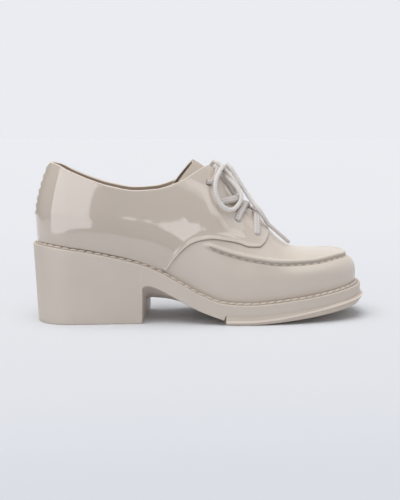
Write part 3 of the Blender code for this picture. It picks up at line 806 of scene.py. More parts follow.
def edge_ell(section):
    """Length along the section to the collar, the throat or, in front of it, the crown."""
    c = section.column
    if c.pivot > FLAP_TOP:
        return ell_at_r(section, opening_half(c.pivot)) if c.pivot < THROAT_BASE else section.ell[-1]
    over = section.z - read(COLLAR, "height", c.pivot + c.dx * section.r)
    first = int(np.argmax(over > 0)) if over.max() > 0 else len(over) - 1
    if first == 0:
        return section.ell[-1]
    share = -over[first - 1] / (over[first] - over[first - 1])
    collar = mix(section.ell[first - 1], section.ell[first], share)
    return min(collar, ell_at_r(section, THROAT_TOP_GAP))


def is_closed(section):
    """True where the upper runs over the middle line without an opening."""
    return section.column.pivot >= THROAT_BASE


def underside(column, r):
    """Height of the sole's underside, from the heel's seat on the floor to the forefoot."""
    x = column.pivot + column.dx * r
    if column.pivot <= BREAST_X:
        return 0.0
    if column.pivot < TREAD_X - 2 * GAP:
        share = smooth(1 - r / column.rim)
        return mix(read(WAIST, "edge", x), read(WAIST, "belly", x), share)
    return spring(x) + TREAD_THICKNESS + GAP


def breast_skew(x):
    """Turn of the sections near the heel's front face, which runs further forward on the inner side."""
    return BREAST_SKEW * smooth(1 - abs(x - BREAST_X) / BREAST_REACH)


def frame_shift():
    """Middle of the shoe's plan, which becomes the origin."""
    x = np.linspace(TREAD_X, RIM_LENGTH, RIM_POINTS)
    reach = [half_width(side, x) + SIDE_FLARE for side in (-1, 1)]
    bend = np.array([swing(v) for v in x])
    middle = (np.max(reach[1] + bend) + np.min(bend - reach[0])) / 2
    return Vector(((RIM_LENGTH + TOE_FLARE) / 2, middle, 0.0))


SHIFT = frame_shift()


def place(point):
    """Point of the shoe in metres, about the origin."""
    return (Vector(point) - SHIFT) * MM


def column_points(column, profile):
    return [to_xyz(column, r, z) for r, z in profile]


def eyelet_places():
    """Place, and outward direction, of each lace hole: lateral and medial of each pair in turn."""
    places = []
    for x, height in EYELETS.rows:
        for side in (-1, 1):
            section = section_at(side, x)
            ell = ell_at_z(section, height - QUARTER_STEP)
            base = Vector(to_xyz(section.column, *on_section(section, ell, 0.0)))
            proud = Vector(to_xyz(section.column, *on_section(section, ell, QUARTER_STEP)))
            places.append((proud, (proud - base).normalized()))
    return places


def eyelet(pair, side):
    """Place and outward direction of one lace hole."""
    return eyelet_places()[2 * pair + (1 if side > 0 else 0)]


def tongue_row(share, depth):
    """Points across the tongue, from its lateral to its medial edge, at a share of its length."""
    row = []
    for k in range(-TONGUE_ACROSS, TONGUE_ACROSS + 1):
        across = abs(k) / TONGUE_ACROSS
        side = -1 if k < 0 else 1
        top = mix(TONGUE_TOP, TONGUE_CORNERS[side], across ** TONGUE_END_POWERS[side])
        x = mix(TONGUE_FRONT, top, share)
        section = section_at(side, x)
        sink = WALL + GAP + depth + read(TONGUE_SINK, "depth", x) * (1 - across ** 2)
        ell = ell_at_r(section, TONGUE_HALF * across)
        row.append(to_xyz(section.column, *on_section(section, ell, -sink)))
    return row


def lengths(points):
    """Length along a line of points, from its start to each of them."""
    return np.concatenate([[0], np.cumsum([(b - a).length for a, b in zip(points, points[1:])])])


def through(points, spacing):
    """Points every spacing along a smooth curve through the route's points."""
    p = [Vector(q) for q in points]
    p = [2 * p[0] - p[1], *p, 2 * p[-1] - p[-2]]
    dense = []
    for a, b, c, d in zip(p, p[1:], p[2:], p[3:]):
        for k in range(CORD_POINTS):
            t = k / CORD_POINTS
            dense.append(0.5 * (2 * b + (c - a) * t + (2 * a - 5 * b + 4 * c - d) * t ** 2
                                + (3 * b - a - 3 * c + d) * t ** 3))
    dense.append(p[-2])
    length = lengths(dense)
    places = np.linspace(0, length[-1], max(2, round(length[-1] / spacing) + 1))
    axes = [np.interp(places, length, [v[axis] for v in dense]) for axis in range(3)]
    return [Vector(q) for q in zip(*axes)]


def aglet_route(lace, tip):
    """Straight route from just past a lace's end to its tip."""
    end = Vector(lace[-1])
    way = Vector(tip) - end
    return [end + 2 * GAP * way.normalized(), end + way]


def on_flap(side, x, inset, depth):
    """Middle of a lace beside the flap's edge at x, on top of the flap or a depth below that."""
    lift = QUARTER_STEP + LACE_DIAMETER / 2 + LACE_CLEAR
    return Vector(on_form(side, x, throat_half(x) + inset, lift - depth))


def over_hole(pair, side):
    """Middle of a lace where it enters a lace hole."""
    point, normal = eyelet(pair, side)
    return point + normal * (LACE_DIAMETER / 2 + LACE_CLEAR)


def to_edge(pair, side, edge):
    """Lace from a hole to where it crosses its own flap's edge."""
    hole = over_hole(pair, side)
    return [hole, on_flap(side, hole.x + edge / 2, FLAP_MIDDLE, 0.0), on_flap(side, hole.x + edge, 0.0, 0.0)]


def cross_route(side, pair, edge, tuck):
    """Lace from a hole over its own flap's edge, across the tongue and under the other flap's edge."""
    route = to_edge(pair, side, edge)
    under = QUARTER_STEP + WALL + LACE_DIAMETER + 2 * LACE_CLEAR
    return [*route, on_flap(-side, route[0].x + tuck, LACE_TUCK, under)]


def bar_route(pair, edge):
    """Lace from hole to hole of a pair, over both flap edges."""
    return to_edge(pair, -1, edge) + to_edge(pair, 1, edge)[::-1]


def stations(table):
    """Places of the sections of a table of stations, each once."""
    places = []
    for start, end, steps in table.rows:
        places += [start + (end - start) * k / steps for k in range(steps + 1)]
    return sorted(set(places))


def half_loop(side, places, skew=None):
    """Columns of one side, from the heel's back to the toe's tip, tips included."""
    turn = skew or (lambda x: 0.0)
    heel = fan(HEEL_X, 0.0, side, HEEL_COLUMNS)
    toe = fan(TOE_PIVOT, RIM_LENGTH, side, TOE_COLUMNS)
    return heel + [straight(side, x, turn(x)) for x in places] + toe[::-1]


def full_loop(places, skew=None):
    """Columns round the whole shoe: lateral side forwards, then medial side back."""
    lateral = half_loop(-1, places, skew)
    medial = half_loop(1, places, skew)
    return lateral + medial[-2:0:-1]


def forefoot_loop(places):
    """Columns round the forefoot: lateral side forwards from the first place, then medial side back."""
    lateral, medial = (
        [straight(side, x) for x in places] + fan(TOE_PIVOT, RIM_LENGTH, side, TOE_COLUMNS)[::-1]
        for side in (-1, 1))
    return lateral + medial[-2::-1]


def bell(t):
    """Smooth bump of height 1 and half width 1."""
    return (1 - t * t) ** 2 if abs(t) < 1 else 0.0


def heel_ribs(section, ell):
    """Height of the ribs down the back of the heel."""
    c = section.column
    if c.pivot > HEEL_X or c.dx >= 0:
        return 0.0
    turn = math.degrees(math.atan2(abs(c.dy), -c.dx))
    z = float(np.interp(ell, section.ell, section.z))
    if turn >= RIB_HALF_ANGLE or not RIB_LOW < z < RIB_TOP:
        return 0.0
    fade = smooth((RIB_HALF_ANGLE - turn) / RIB_FADE_ANGLE) * smooth((z - RIB_LOW) / RIB_FADE)
    return RIB_HEIGHT * fade * abs(math.sin(math.pi * (RIB_TOP - z) / RIB_PITCH)) ** RIB_ROUND


def swell(section, ell):
    """Height of the listed swellings and hollows at a length along a section."""
    r, z = (float(np.interp(ell, section.ell, row)) for row in (section.r, section.z))
    x = section.column.pivot + section.column.dx * r
    return sum(height * bell((x - x0) / run_x) * bell((z - z0) / run_z)
               for x0, z0, run_x, run_z, height in SWELLS.rows)


def apron_share(x):
    """How far the apron's seam has come up out of the wall at x, from 0 to 1."""
    return smooth((x - RIDGE_BACK) / RIDGE_FADE)


def upper_rows(section):
    """Outside of the upper along a section: length, height over the form, and material of the face below."""
    x = section.column.x
    end = edge_ell(section)
    behind = section.column.pivot <= FLAP_TOP
    flap = end if behind else ell_at_r(section, throat_half(min(x, QUARTER_FRONT)))
    crest = ell_at_z(section, read(RIDGE, "height", x))
    apron = apron_share(x)
    height = QUARTER_STEP
    low = 0.0
    if x <= QUARTER_BACK:
        edge = mix(QUARTER_FOOT, HEEL_ROW * end, smooth((QUARTER_BACK - x) / HEEL_ROW_RUN))
        low = QUARTER_STEP
    elif x < QUARTER_FRONT:
        edge = ell_at_z(section, read(QUARTER_EDGE, "height", x))
        height *= smooth((flap - edge - STEP_START) / STEP_FADE)
        edge = max(QUARTER_FOOT, min(edge, flap - FLAP_MARGIN))
    else:
        height = 0.0
        ahead = smooth((x - QUARTER_FRONT) / VAMP_ROW_RUN)
        edge = flap - mix(FLAP_MARGIN, FRONT_ROW * (flap - crest), ahead)
    seam_runs = (-GROOVE_RUN - SEAM_MARGIN, min(RIDGE_RUN + SEAM_MARGIN, edge - SEAM_ROOM - crest))
    seam = [mix(share * edge, crest + run, apron) for share, run in zip(SEAM_SHARES, seam_runs)]

    def relief(ell):
        ridge = RIDGE_LIFT * RIDGE_HEIGHT * bell((ell - crest) / (2 * RIDGE_BROAD))
        groove = GROOVE_LIFT * GROOVE_DEPTH * bell((ell - crest + GROOVE_RUN) / (2 * GROOVE_BROAD))
        return low + apron * (ridge - groove) + heel_ribs(section, ell)

    rows = []
    spans = (
        (0.0, seam[0], SIDE_FACES),
        (seam[0], seam[1], SEAM_FACES),
        (seam[1], edge + STEP_SHAPE[0][0], VAMP_FACES),
    )
    skin = "quarter" if x <= QUARTER_BACK else "vamp"
    for start, stop, count in spans:
        for ell in np.linspace(start, stop, count, endpoint=False):
            # Faces in the groove take the seam look: painted shade
            in_groove = apron > SEAM_SEEN and abs(ell - crest + GROOVE_RUN) < GROOVE_BROAD
            rows.append((ell, relief(ell), "seam" if in_groove else skin))
    stepped = QUARTER_BACK < x < QUARTER_FRONT and height > STEP_SEEN
    for run, share in STEP_SHAPE:
        ell = edge + run
        up = relief(ell)
        if low == 0:
            up = mix(up, height + heel_ribs(section, ell), share)
        # At the quarter's stepped edge: painted shade at its foot, painted highlight on its rounded top
        rows.append((ell, up, ("seam" if share <= 0 else "edge") if stepped else skin))
    skin = "quarter" if x < QUARTER_FRONT else "vamp"
    top = flap + FLAP_SHAPE[0][0]
    for ell in np.linspace(edge + STEP_SHAPE[-1][0], top, QUARTER_FACES, endpoint=False)[1:]:
        lip = LIP_HEIGHT * bell((ell - flap + LIP_BACK) / LIP_BROAD) if behind else 0.0
        if stepped:
            lip += ROLL_HEIGHT * bell((ell - edge - ROLL_RUN) / ROLL_BROAD)
        rows.append((ell, height + lip + heel_ribs(section, ell), skin))
    for run, share in FLAP_SHAPE:
        # The flaps' edges take the edge look: painted highlight
        rows.append((flap + run, share * height, "edge" if x < QUARTER_FRONT else skin))
    inner = 0.0 if is_closed(section) else 1.0
    for share, depth in BRIM_SHAPE:
        rows.append((mix(flap, end, share), -depth * inner, "vamp"))
    return rows, end, inner


def upper_outline(section):
    """Closed outline of the upper's wall along a section, and the material of each face."""
    rows, end, inner = upper_rows(section)
    # The inside of the wall takes its darker look: painted shade
    turn = [(end - run, -share * WALL, "lining") for run, share in WALL_TURN]
    if not inner:
        turn = [(end, -WALL, "lining") for _ in WALL_TURN]
    inside = [(ell, -WALL, "lining") for ell in np.linspace(end - WALL_START * inner, 0.0, INSIDE_FACES)]
    rows = [(ell, offset + swell(section, ell), skin) for ell, offset, skin in rows]
    outline = [on_section(section, ell, offset) for ell, offset, _ in rows + turn + inside]
    low = feather_z(section.column.x)
    outline[0] = (outline[0][0], low)
    outline[-1] = (outline[-1][0], low)
    return outline, [skin for _, _, skin in rows + turn + inside]


def add_object(name, bm, materials):
    """Object in the scene from a mesh whose faces already have their materials."""
    mesh = bpy.data.meshes.new(name)
    bm.to_mesh(mesh)
    bm.free()
    for material in materials:
        mesh.materials.append(material)
    obj = bpy.data.objects.new(name, mesh)
    bpy.context.scene.collection.objects.link(obj)
    return obj


def finish_mesh(name, bm, materials, sharp=SHARP):
    """Smooth object from a mesh, with its doubled points joined and its sharp edges kept."""
    bmesh.ops.remove_doubles(bm, verts=bm.verts, dist=WELD * MM)
    bmesh.ops.dissolve_degenerate(bm, edges=bm.edges, dist=WELD * MM)
    bmesh.ops.recalc_face_normals(bm, faces=bm.faces)
    obj = add_object(name, bm, materials)
    obj.data.shade_smooth()
    obj.data.set_sharp_from_angle(angle=math.radians(sharp))
    return obj


def loft(name, outlines, materials, skins=None, round_shoe=True, ring=False, skip=None, sharp=SHARP, cap=0):
    """Mesh between neighbouring outlines of the same number of points; skins gives each face's material."""
    bm = bmesh.new()
    rings = [[bm.verts.new(place(p)) for p in outline] for outline in outlines]
    count = len(rings)
    points = len(rings[0])
    for i in range(count if round_shoe else count - 1):
        here, there = rings[i], rings[(i + 1) % count]
        for j in range(points if ring else points - 1):
            if skip and skip(i, j):
                continue
            after = (j + 1) % points
            face = bm.faces.new((here[j], there[j], there[after], here[after]))
            if skins:
                face.material_index = skins[i][j]
    if not round_shoe:
        for end in (rings[0], rings[-1]):
            bm.faces.new(end).material_index = cap
    return finish_mesh(name, bm, materials, sharp)


def cut_holes(upper, hole_shade_look):
    """Cuts the lace holes through the flaps."""
    bm = bmesh.new()
    for point, normal in eyelet_places():
        turn = normal.to_track_quat("Z", "Y").to_matrix().to_4x4()
        turn.translation = place(point)
        bmesh.ops.create_cone(
            bm, cap_ends=True, segments=HOLE_SIDES, radius1=EYELET_DIAMETER / 2 * MM,
            radius2=EYELET_DIAMETER / 2 * MM, depth=HOLE_REACH * MM, matrix=turn)
    # The hole walls take the hole look: painted shade
    cutter = add_object("holes", bm, [hole_shade_look])
    cut = upper.modifiers.new("holes", "BOOLEAN")
    cut.operation = "DIFFERENCE"
    cut.solver = "EXACT"
    cut.material_mode = "TRANSFER"
    cut.object = cutter
    bpy.context.view_layer.update()
    evaluated = upper.evaluated_get(bpy.context.evaluated_depsgraph_get())
    cut_mesh = bpy.data.meshes.new_from_object(evaluated)
    upper.modifiers.clear()
    upper.data = cut_mesh
    bpy.data.objects.remove(cutter)


def make_upper(looks):
    """Upper with its lace holes, open at the collar, the throat and underneath."""
    # Of these looks, the inside, seam and hole looks are painted shade and the edge look is a painted
    # highlight
    order = ("quarter", "vamp", "lining", "seam", "edge", "hole")
    sections = sections_round(full_loop(stations(STATIONS)))
    made = [upper_outline(s) for s in sections]
    outlines = [column_points(s.column, outline) for s, (outline, _) in zip(sections, made)]
    skins = [[order.index(skin) for skin in names] for _, names in made]
    count = len(sections)
    crown = len(upper_rows(sections[0])[0]) - 1

    def skip(i, j):
        closed = is_closed(sections[i]) and is_closed(sections[(i + 1) % count])
        return closed and crown <= j < crown + TURN_FACES

    upper = loft("upper_shell", outlines, [looks[name] for name in order], skins, ring=True, skip=skip)
    cut_holes(upper, looks["hole"])
    return upper


def fillet(column):
    """Depth of the round between the heel's front face and the underside of the waist."""
    run = BREAST_ROUND - (column.pivot - BREAST_X)
    if not 0 < run < BREAST_ROUND:
        return 0.0
    return BREAST_ROUND - math.sqrt(BREAST_ROUND ** 2 - run ** 2)


def sole_outline(column):
    """Outline of the sole along a column, with rounded lip, channel and lower edge."""
    seat = column.rim - LEDGE
    rim = rim_z(column.x)
    top = rim + LEDGE_RISE - SEAT_TUCK
    heel = column.pivot <= BREAST_X
    taper = HEEL_TAPER if heel else 0.0
    low = underside(column, column.rim) - fillet(column)
    foot = column.rim - taper
    edge_round = EDGE_ROUND if column.pivot < TREAD_X else TREAD_SEAM_ROUND
    middle = rim_z(column.pivot) + LEDGE_RISE - SEAT_GAP
    under = top - SEAT_GAP
    channel = column.rim - LIP_WIDTH
    outline = [
        (0.0, middle),
        (seat / 2, mix(middle, under, 0.5)),
        (seat - SEAT_INSET, under),
        (seat + SEAT_TUCK, top),
    ]
    for t in CHANNEL_SHARES:
        outline.append((mix(seat, channel - CHANNEL_FOOT, t), mix(top, rim - LIP_DEPTH, t ** CHANNEL_POWER)))
    outline += [(channel + run, rim - depth) for run, depth in LIP_SHAPE]
    for k in range(ROUND_FACES + 1):
        a = math.pi / 2 * k / ROUND_FACES
        outline.append((column.rim - EDGE_ROUND * (1 - math.sin(a)), rim - EDGE_ROUND * (1 - math.cos(a))))
    for k in range(1, SOLE_FACES):
        share = k / SOLE_FACES
        outline.append((mix(column.rim, foot, share), mix(rim - EDGE_ROUND, low + edge_round, share)))
    for k in range(ROUND_FACES + 1):
        a = math.pi / 2 * k / ROUND_FACES
        outline.append((foot - edge_round * (1 - math.cos(a)), low + edge_round * (1 - math.sin(a))))
    inner = foot - edge_round
    for k in range(1, SOLE_FACES + 1):
        r = inner * (1 - k / SOLE_FACES)
        outline.append((r, underside(column, r) - fillet(column)))
    return outline


def make_sole(looks):
    """Sole with its heel, waist, platform and stitched rim."""
    columns = full_loop(stations(SOLE_STATIONS), breast_skew)
    outlines = [column_points(c, sole_outline(c)) for c in columns]
    # Faces of the channel take its darker look: painted shade
    skins = [[1 if j in CHANNEL_FACES else 0 for j in range(len(row))] for row in outlines]
    return loft("sole_block", outlines, [looks["sole"], looks["channel"]], skins, sharp=SHARP_SOLE)


def tread_outline(column, setback):
    """Outline of the tread piece along a column: a cove under the sole, a thin lip and a bevel below it."""
    ahead = smooth((column.x - TOE_PIVOT) / (RIM_LENGTH - TOE_PIVOT))
    lift = smooth((column.x - COVE_BACK) / (RIM_LENGTH - COVE_BACK))
    reach = column.rim + mix(SIDE_FLARE, TOE_FLARE, ahead) - setback
    foot = reach - mix(SIDE_BEVEL, TOE_BEVEL, ahead)

    def low(r):
        return spring(column.pivot + column.dx * r)

    edge = column.rim - EDGE_ROUND
    flush = column.rim - COVE_TUCK - setback
    top = low(edge) + TREAD_THICKNESS + GAP
    lip = mix(low(edge) + LIP_LOW, top - LIP_DROP, lift)
    run, drop = LIP_TURN[-1]
    outline = [(edge * t, low(edge * t) + TREAD_THICKNESS + GAP) for t in np.linspace(0, 1, TREAD_POINTS)]
    for t in np.linspace(0, 1, COVE_POINTS):
        outline.append((mix(flush, reach, t ** COVE_POWER), mix(top, lip, t)))
    outline += [(reach - back, lip - down) for back, down in LIP_TURN]
    for t in np.linspace(*BEVEL_SHARES, BEVEL_POINTS):
        outline.append((mix(reach - run, foot, t), mix(lip - drop, low(foot), t)))
    outline += [(foot * t, low(foot * t)) for t in np.linspace(TREAD_START, 0, TREAD_POINTS)]
    return outline


def make_tread(looks):
    """Tread piece under the forefoot, with its back edge rounded."""
    outlines = []
    for c in forefoot_loop(stations(TREAD_STATIONS)):
        back = max(0.0, 1 - (c.pivot - TREAD_BACK) / EDGE_ROUND)
        outlines.append(column_points(c, tread_outline(c, EDGE_ROUND * (1 - math.sqrt(1 - back * back)))))
    # Faces of the lip take the edge look: painted highlight
    skins = [[1 if j in LIP_FACES else 0 for j in range(len(row))] for row in outlines]
    materials = [looks["tread"], looks["edge"]]
    return loft("forepart_tread", outlines, materials, skins, round_shoe=False, sharp=SHARP_SOLE)


def make_insole(looks):
    """Insole that follows the seat of the upper."""
    outlines = []
    for c in full_loop(stations(INSOLE_STATIONS)):
        edge = c.rim - LEDGE - WALL - INSOLE_CLEAR
        low, middle = feather_z(c.x) + GAP, feather_z(c.pivot) + GAP
        top = np.linspace(0, INSOLE_TOP, INSOLE_POINTS[0])
        under = np.linspace(INSOLE_UNDER, 0, INSOLE_POINTS[1])
        rows = [(edge * t, mix(middle, low, t) + INSOLE_THICKNESS) for t in top]
        rows += [(edge, low + INSOLE_EDGE * INSOLE_THICKNESS), (edge, low)]
        rows += [(edge * t, mix(middle, low, t)) for t in under]
        outlines.append(column_points(c, rows))
    return loft("insole_sheet", outlines, [looks["insole"]], sharp=SHARP_SHEET)


def make_tongue(looks):
    """Tongue with a rounded end, a painted highlight on its cut edge and painted shade on its inside."""
    outlines, skins = [], []
    points = 2 * TONGUE_ACROSS + 1
    for k in range(TONGUE_FACES + 1):
        share = (k / TONGUE_FACES) ** TONGUE_SPREAD
        rows = [[Vector(p) for p in tongue_row(share, depth)] for depth in (0.0, TONGUE_THICKNESS)]
        ends = [mix(rows[0][j], rows[1][j], 0.5) for j in (-1, 0)]
        outlines.append(rows[0] + ends[:1] + rows[1][::-1] + ends[1:])
        # Cut edges take a painted highlight and the underside painted shade
        skins.append([0] * (points - 1) + [1, 1] + [2] * (points - 1) + [1, 1])
    materials = [looks[name] for name in ("tongue", "edge", "tongue_back")]
    return loft("tongue_sheet", outlines, materials, skins, round_shoe=False, ring=True,
                sharp=SHARP_SHEET, cap=1)


def walk(points, normals, pitch, start=0.5):
    """Frames every pitch along a line of points: middle, way along and way out."""
    length = lengths(points)
    count = max(2, round(length[-1] / pitch))
    frames = []
    for k in range(count):
        s = max((k + start) * length[-1] / count, TINY)
        i = min(int(np.searchsorted(length, s)), len(points) - 1)
        t = (s - length[i - 1]) / max(length[i] - length[i - 1], TINY)
        along = (points[i] - points[i - 1]).normalized()
        out = mix(normals[i - 1], normals[i], t)
        out = (out - along * out.dot(along)).normalized()
        frames.append((mix(points[i - 1], points[i], t), along, out))
    return frames


def add_beads(bm, frames, size, lean=0.0, skin=0):
    """Adds a long rounded bead at each frame, leaning over by a share of its width."""
    for middle, along, out in frames:
        across = out.cross(along)
        turn = Matrix((along, across, out)).transposed()
        made = bmesh.ops.create_uvsphere(
            bm, u_segments=BEAD_SEGMENTS[0], v_segments=BEAD_SEGMENTS[1], radius=1.0)
        for vert in made["verts"]:
            x, y, z = vert.co
            bulk = max(abs(x), TINY)
            x = math.copysign(bulk ** BEAD_BLUNT, x)
            local = Vector(((x * size[0] + lean * y * size[1]) / 2, y * size[1] / 2, z * size[2]))
            vert.co = place(middle + turn @ local)
        for face in {f for v in made["verts"] for f in v.link_faces}:
            face.material_index = skin


def welt_line():
    """Middle line of the stitched channel round the sole, with the way out of its floor."""
    points, normals = [], []
    columns = full_loop(stations(SOLE_STATIONS), breast_skew)
    for c in columns + columns[:1]:
        inner, outer = c.rim - LEDGE, c.rim - LIP_WIDTH - CHANNEL_FOOT
        top, rim = rim_z(c.x) + LEDGE_RISE - SEAT_TUCK, rim_z(c.x) - LIP_DEPTH
        r = mix(inner, outer, WELT_ACROSS)
        points.append(Vector(to_xyz(c, r, mix(top, rim, WELT_ACROSS ** CHANNEL_POWER))))
        slope = Vector((top - rim, outer - inner)).normalized()
        normals.append(Vector((slope.x * c.dx, slope.x * c.dy, slope.y)))
    return points, normals


def apron_line():
    """Bottom of the groove below the apron seam's ridge, with the way out of it."""
    points, normals = [], []
    places = [x for x in stations(STATIONS) if x > APRON_START]
    for c in forefoot_loop(places):
        section = half_section(c)
        ell = ell_at_z(section, read(RIDGE, "height", c.x)) - GROOVE_RUN
        floor = -GROOVE_LIFT * GROOVE_DEPTH * apron_share(c.x)
        base, out = (Vector(to_xyz(c, *on_section(section, ell, offset))) for offset in (floor, 1.0))
        points.append(base)
        normals.append((out - base).normalized())
    return points, normals


def make_stitches(looks):
    """Moulded stitches of the rim, and those of the apron's seam with dark dots of painted shade between
    them.
    """
    bm = bmesh.new()
    add_beads(bm, walk(*welt_line(), WELT_PITCH), WELT_STITCH, WELT_LEAN)
    welt = finish_mesh("welt_stitches", bm, [looks["stitch"]])
    points, normals = apron_line()
    bm = bmesh.new()
    add_beads(bm, walk(points, normals, APRON_PITCH), APRON_STITCH, APRON_LEAN)
    # Dark dots between the stitches: painted shade
    add_beads(bm, walk(points, normals, APRON_PITCH, 0.0), APRON_DOT, skin=1)
    apron = finish_mesh("apron_stitches", bm, [looks["stitch"], looks["dot"]])
    return welt, apron


def skin_rings(bm, rings):
    """Faces between neighbouring rings, each with its ring's and its own number, and a cap on both ends."""
    sides = []
    for i, (here, there) in enumerate(zip(rings, rings[1:])):
        for k in range(LACE_SIDES):
            after = (k + 1) % LACE_SIDES
            sides.append((i, k, bm.faces.new((here[k], here[after], there[after], there[k]))))
    bm.faces.new(rings[0])
    bm.faces.new(rings[-1])
    return sides


def tube(name, route, diameter, look, across=None, press=(1.0, 1.0)):
    """Lace along a route of millimetre points, with the relief of its braid, and the line it follows."""
    line = through(route, LACE_RING)
    bm = bmesh.new()
    uv = bm.loops.layers.uv.new("UVMap")
    way = (line[1] - line[0]).normalized()
    side = across or way.orthogonal().normalized()
    rings, run, runs = [], 0.0, []
    for i, point in enumerate(line):
        ahead = (line[min(i + 1, len(line) - 1)] - line[max(i - 1, 0)]).normalized()
        side = (side - ahead * side.dot(ahead)).normalized()
        other = ahead.cross(side)
        run += (point - line[i - 1]).length if i else 0.0
        runs.append(run)
        ring = []
        for k in range(LACE_SIDES):
            a = 2 * math.pi * k / LACE_SIDES
            turn = 2 * math.pi * run / BRAID_PITCH
            weave = max(math.cos(BRAID_STRANDS * a + turn), math.cos(BRAID_STRANDS * a - turn))
            radius = diameter / 2 + BRAID_HEIGHT * (weave - BRAID_SINK)
            out = press[0] * math.cos(a) * side + press[1] * math.sin(a) * other
            ring.append(bm.verts.new(place(point + radius * out)))
        rings.append(ring)
    for i, k, face in skin_rings(bm, rings):
        for loop, (u, v) in zip(face.loops, ((k, i), (k + 1, i), (k + 1, i + 1), (k, i + 1))):
            loop[uv].uv = (u / LACE_SIDES, runs[v] / (math.pi * diameter))
    return finish_mesh(name, bm, [look], SHARP_LACE), line


def joined(name, pieces):
    """One object from several meshes that share their material."""
    bm = bmesh.new()
    for piece in pieces:
        bm.from_mesh(piece.data)
    materials = list(pieces[0].data.materials)
    for piece in pieces:
        bpy.data.objects.remove(piece)
    obj = add_object(name, bm, materials)
    obj.data.shade_smooth()
    return obj


def into_hole(pair, side):
    """Points of a lace that comes up out of a lace hole."""
    point, normal = eyelet(pair, side)
    return [point + normal * level for level in HOLE_LEVELS]


def across_lace(pair, side, route):
    """Way across a lace that comes out of a lace hole and turns along its flap."""
    normal = eyelet(pair, side)[1]
    return normal.cross(Vector(route[-1]) - Vector(route[0])).normalized()


def make_lacing(looks):
    """Laces over the tongue, by the node that each replaces."""
    pieces = {}
    # The laces over the flaps take the darker copy of the lace: painted shade
    for name, (pair, edge) in zip(("lace_bar_top", "lace_bar_front"), BARS.rows):
        route = bar_route(pair, edge)
        across = across_lace(pair, -1, route)
        route = into_hole(pair, -1) + route[1:-1] + into_hole(pair, 1)[::-1]
        pieces[name] = tube(name + "_lace", route, LACE_DIAMETER, looks["shaded_lace"], across, LACE_PRESS)[0]
    for name, (pair, edge, tuck) in zip(("lace_cross_upper", "lace_cross_lower"), CROSSINGS.rows):
        strands = []
        for side in (-1, 1):
            route = cross_route(side, pair, edge, tuck)
            across = across_lace(pair, side, route)
            route = into_hole(pair, side) + route[1:]
            strand = tube(name + "_strand", route, LACE_DIAMETER, looks["shaded_lace"], across, LACE_PRESS)[0]
            strands.append(strand)
        pieces[name] = joined(name + "_laces", strands)
    return pieces


def make_knot(looks):
    """Knot of the bow: a band round the strands that run on into the loops and ends."""
    middle = mix(Vector(LOOP_NEAR[0]), Vector(LOOP_FAR[-1]), 0.5)
    band = []
    for k in range(KNOT_TURNS + KNOT_OVERLAP):
        a = 2 * math.pi * k / KNOT_TURNS
        lean = KNOT_LEAN * math.cos(a / 2)
        band.append(middle + Vector((KNOT_RING[0] * math.cos(a), lean, KNOT_RING[1] * math.sin(a))))

    def inside(offsets):
        return [middle + Vector(offset) for offset in offsets]

    routes = [
        band,
        [LOOP_NEAR[0], *inside(LOOP_OVER), LOOP_FAR[-1]],
        [LOOP_NEAR[-1], *inside(LOOP_UNDER), LOOP_FAR[0]],
        [END_NEAR[0], *inside(NEAR_INSIDE)],
        [END_FAR[0], *inside(FAR_INSIDE)],
        KNOT_FOLD,
    ]
    strands = [tube("strand", route, LACE_DIAMETER, looks["lace"])[0] for route in routes]
    across = Vector(TUCK_ACROSS).normalized()
    strands.append(tube("tuck", KNOT_TUCK, LACE_DIAMETER, looks["lace"], across, TUCK_PRESS)[0])
    return joined("bow_knot", strands)


def make_aglet(name, lace, tip, looks):
    """Moulded tip of a lace end: a slim sleeve with a crimped mouth and a rounded end."""
    start, end = aglet_route(lace, tip)
    start = Vector(lace[-1]) - TIP_OVERLAP * (end - start).normalized()
    way = (end - start).normalized()
    side = way.orthogonal().normalized()
    other = way.cross(side)
    length = (end - start).length
    bm = bmesh.new()
    rings = []
    for run, share in [*TIP_MOUTH, *((length - back, share) for back, share in TIP_END)]:
        middle = start + way * run
        radius = AGLET_DIAMETER / 2 * share
        ring = []
        for k in range(LACE_SIDES):
            a = 2 * math.pi * k / LACE_SIDES
            ring.append(bm.verts.new(place(middle + radius * (math.cos(a) * side + math.sin(a) * other))))
        rings.append(ring)
    skin_rings(bm, rings)
    return finish_mesh(name, bm, [looks["tip"]], SHARP_LACE)


def set_values(node, **values):
    """Sets inputs of a node, with a low line for a space in their names, or else its settings."""
    for name, value in values.items():
        entry = name.replace("_", " ")
        if entry in node.inputs:
            node.inputs[entry].default_value = value
        else:
            setattr(node, name, value)
    return node


def add_node(tree, kind, **values):
    """Node of a kind, with values for its inputs or its settings."""
    return set_values(tree.nodes.new(kind), **values)


def wire(source, output, target, entry):
    """Links an output of one node to an input of another."""
    source.id_data.links.new(source.outputs[output], target.inputs[entry])


def new_material(name):
    """New material, with its tree and its shader."""
    material = bpy.data.materials.new(name)
    material.use_nodes = True
    return material, material.node_tree, material.node_tree.nodes["Principled BSDF"]


def multiplied(tree, share, first, second):
    """First colour, multiplied to a share by the second."""
    blend = add_node(tree, "ShaderNodeMix", data_type="RGBA", blend_type="MULTIPLY", Factor=share)
    tree.links.new(first, blend.inputs[MIX_FIRST])
    tree.links.new(second, blend.inputs[MIX_SECOND])
    return blend.outputs[MIX_RESULT]


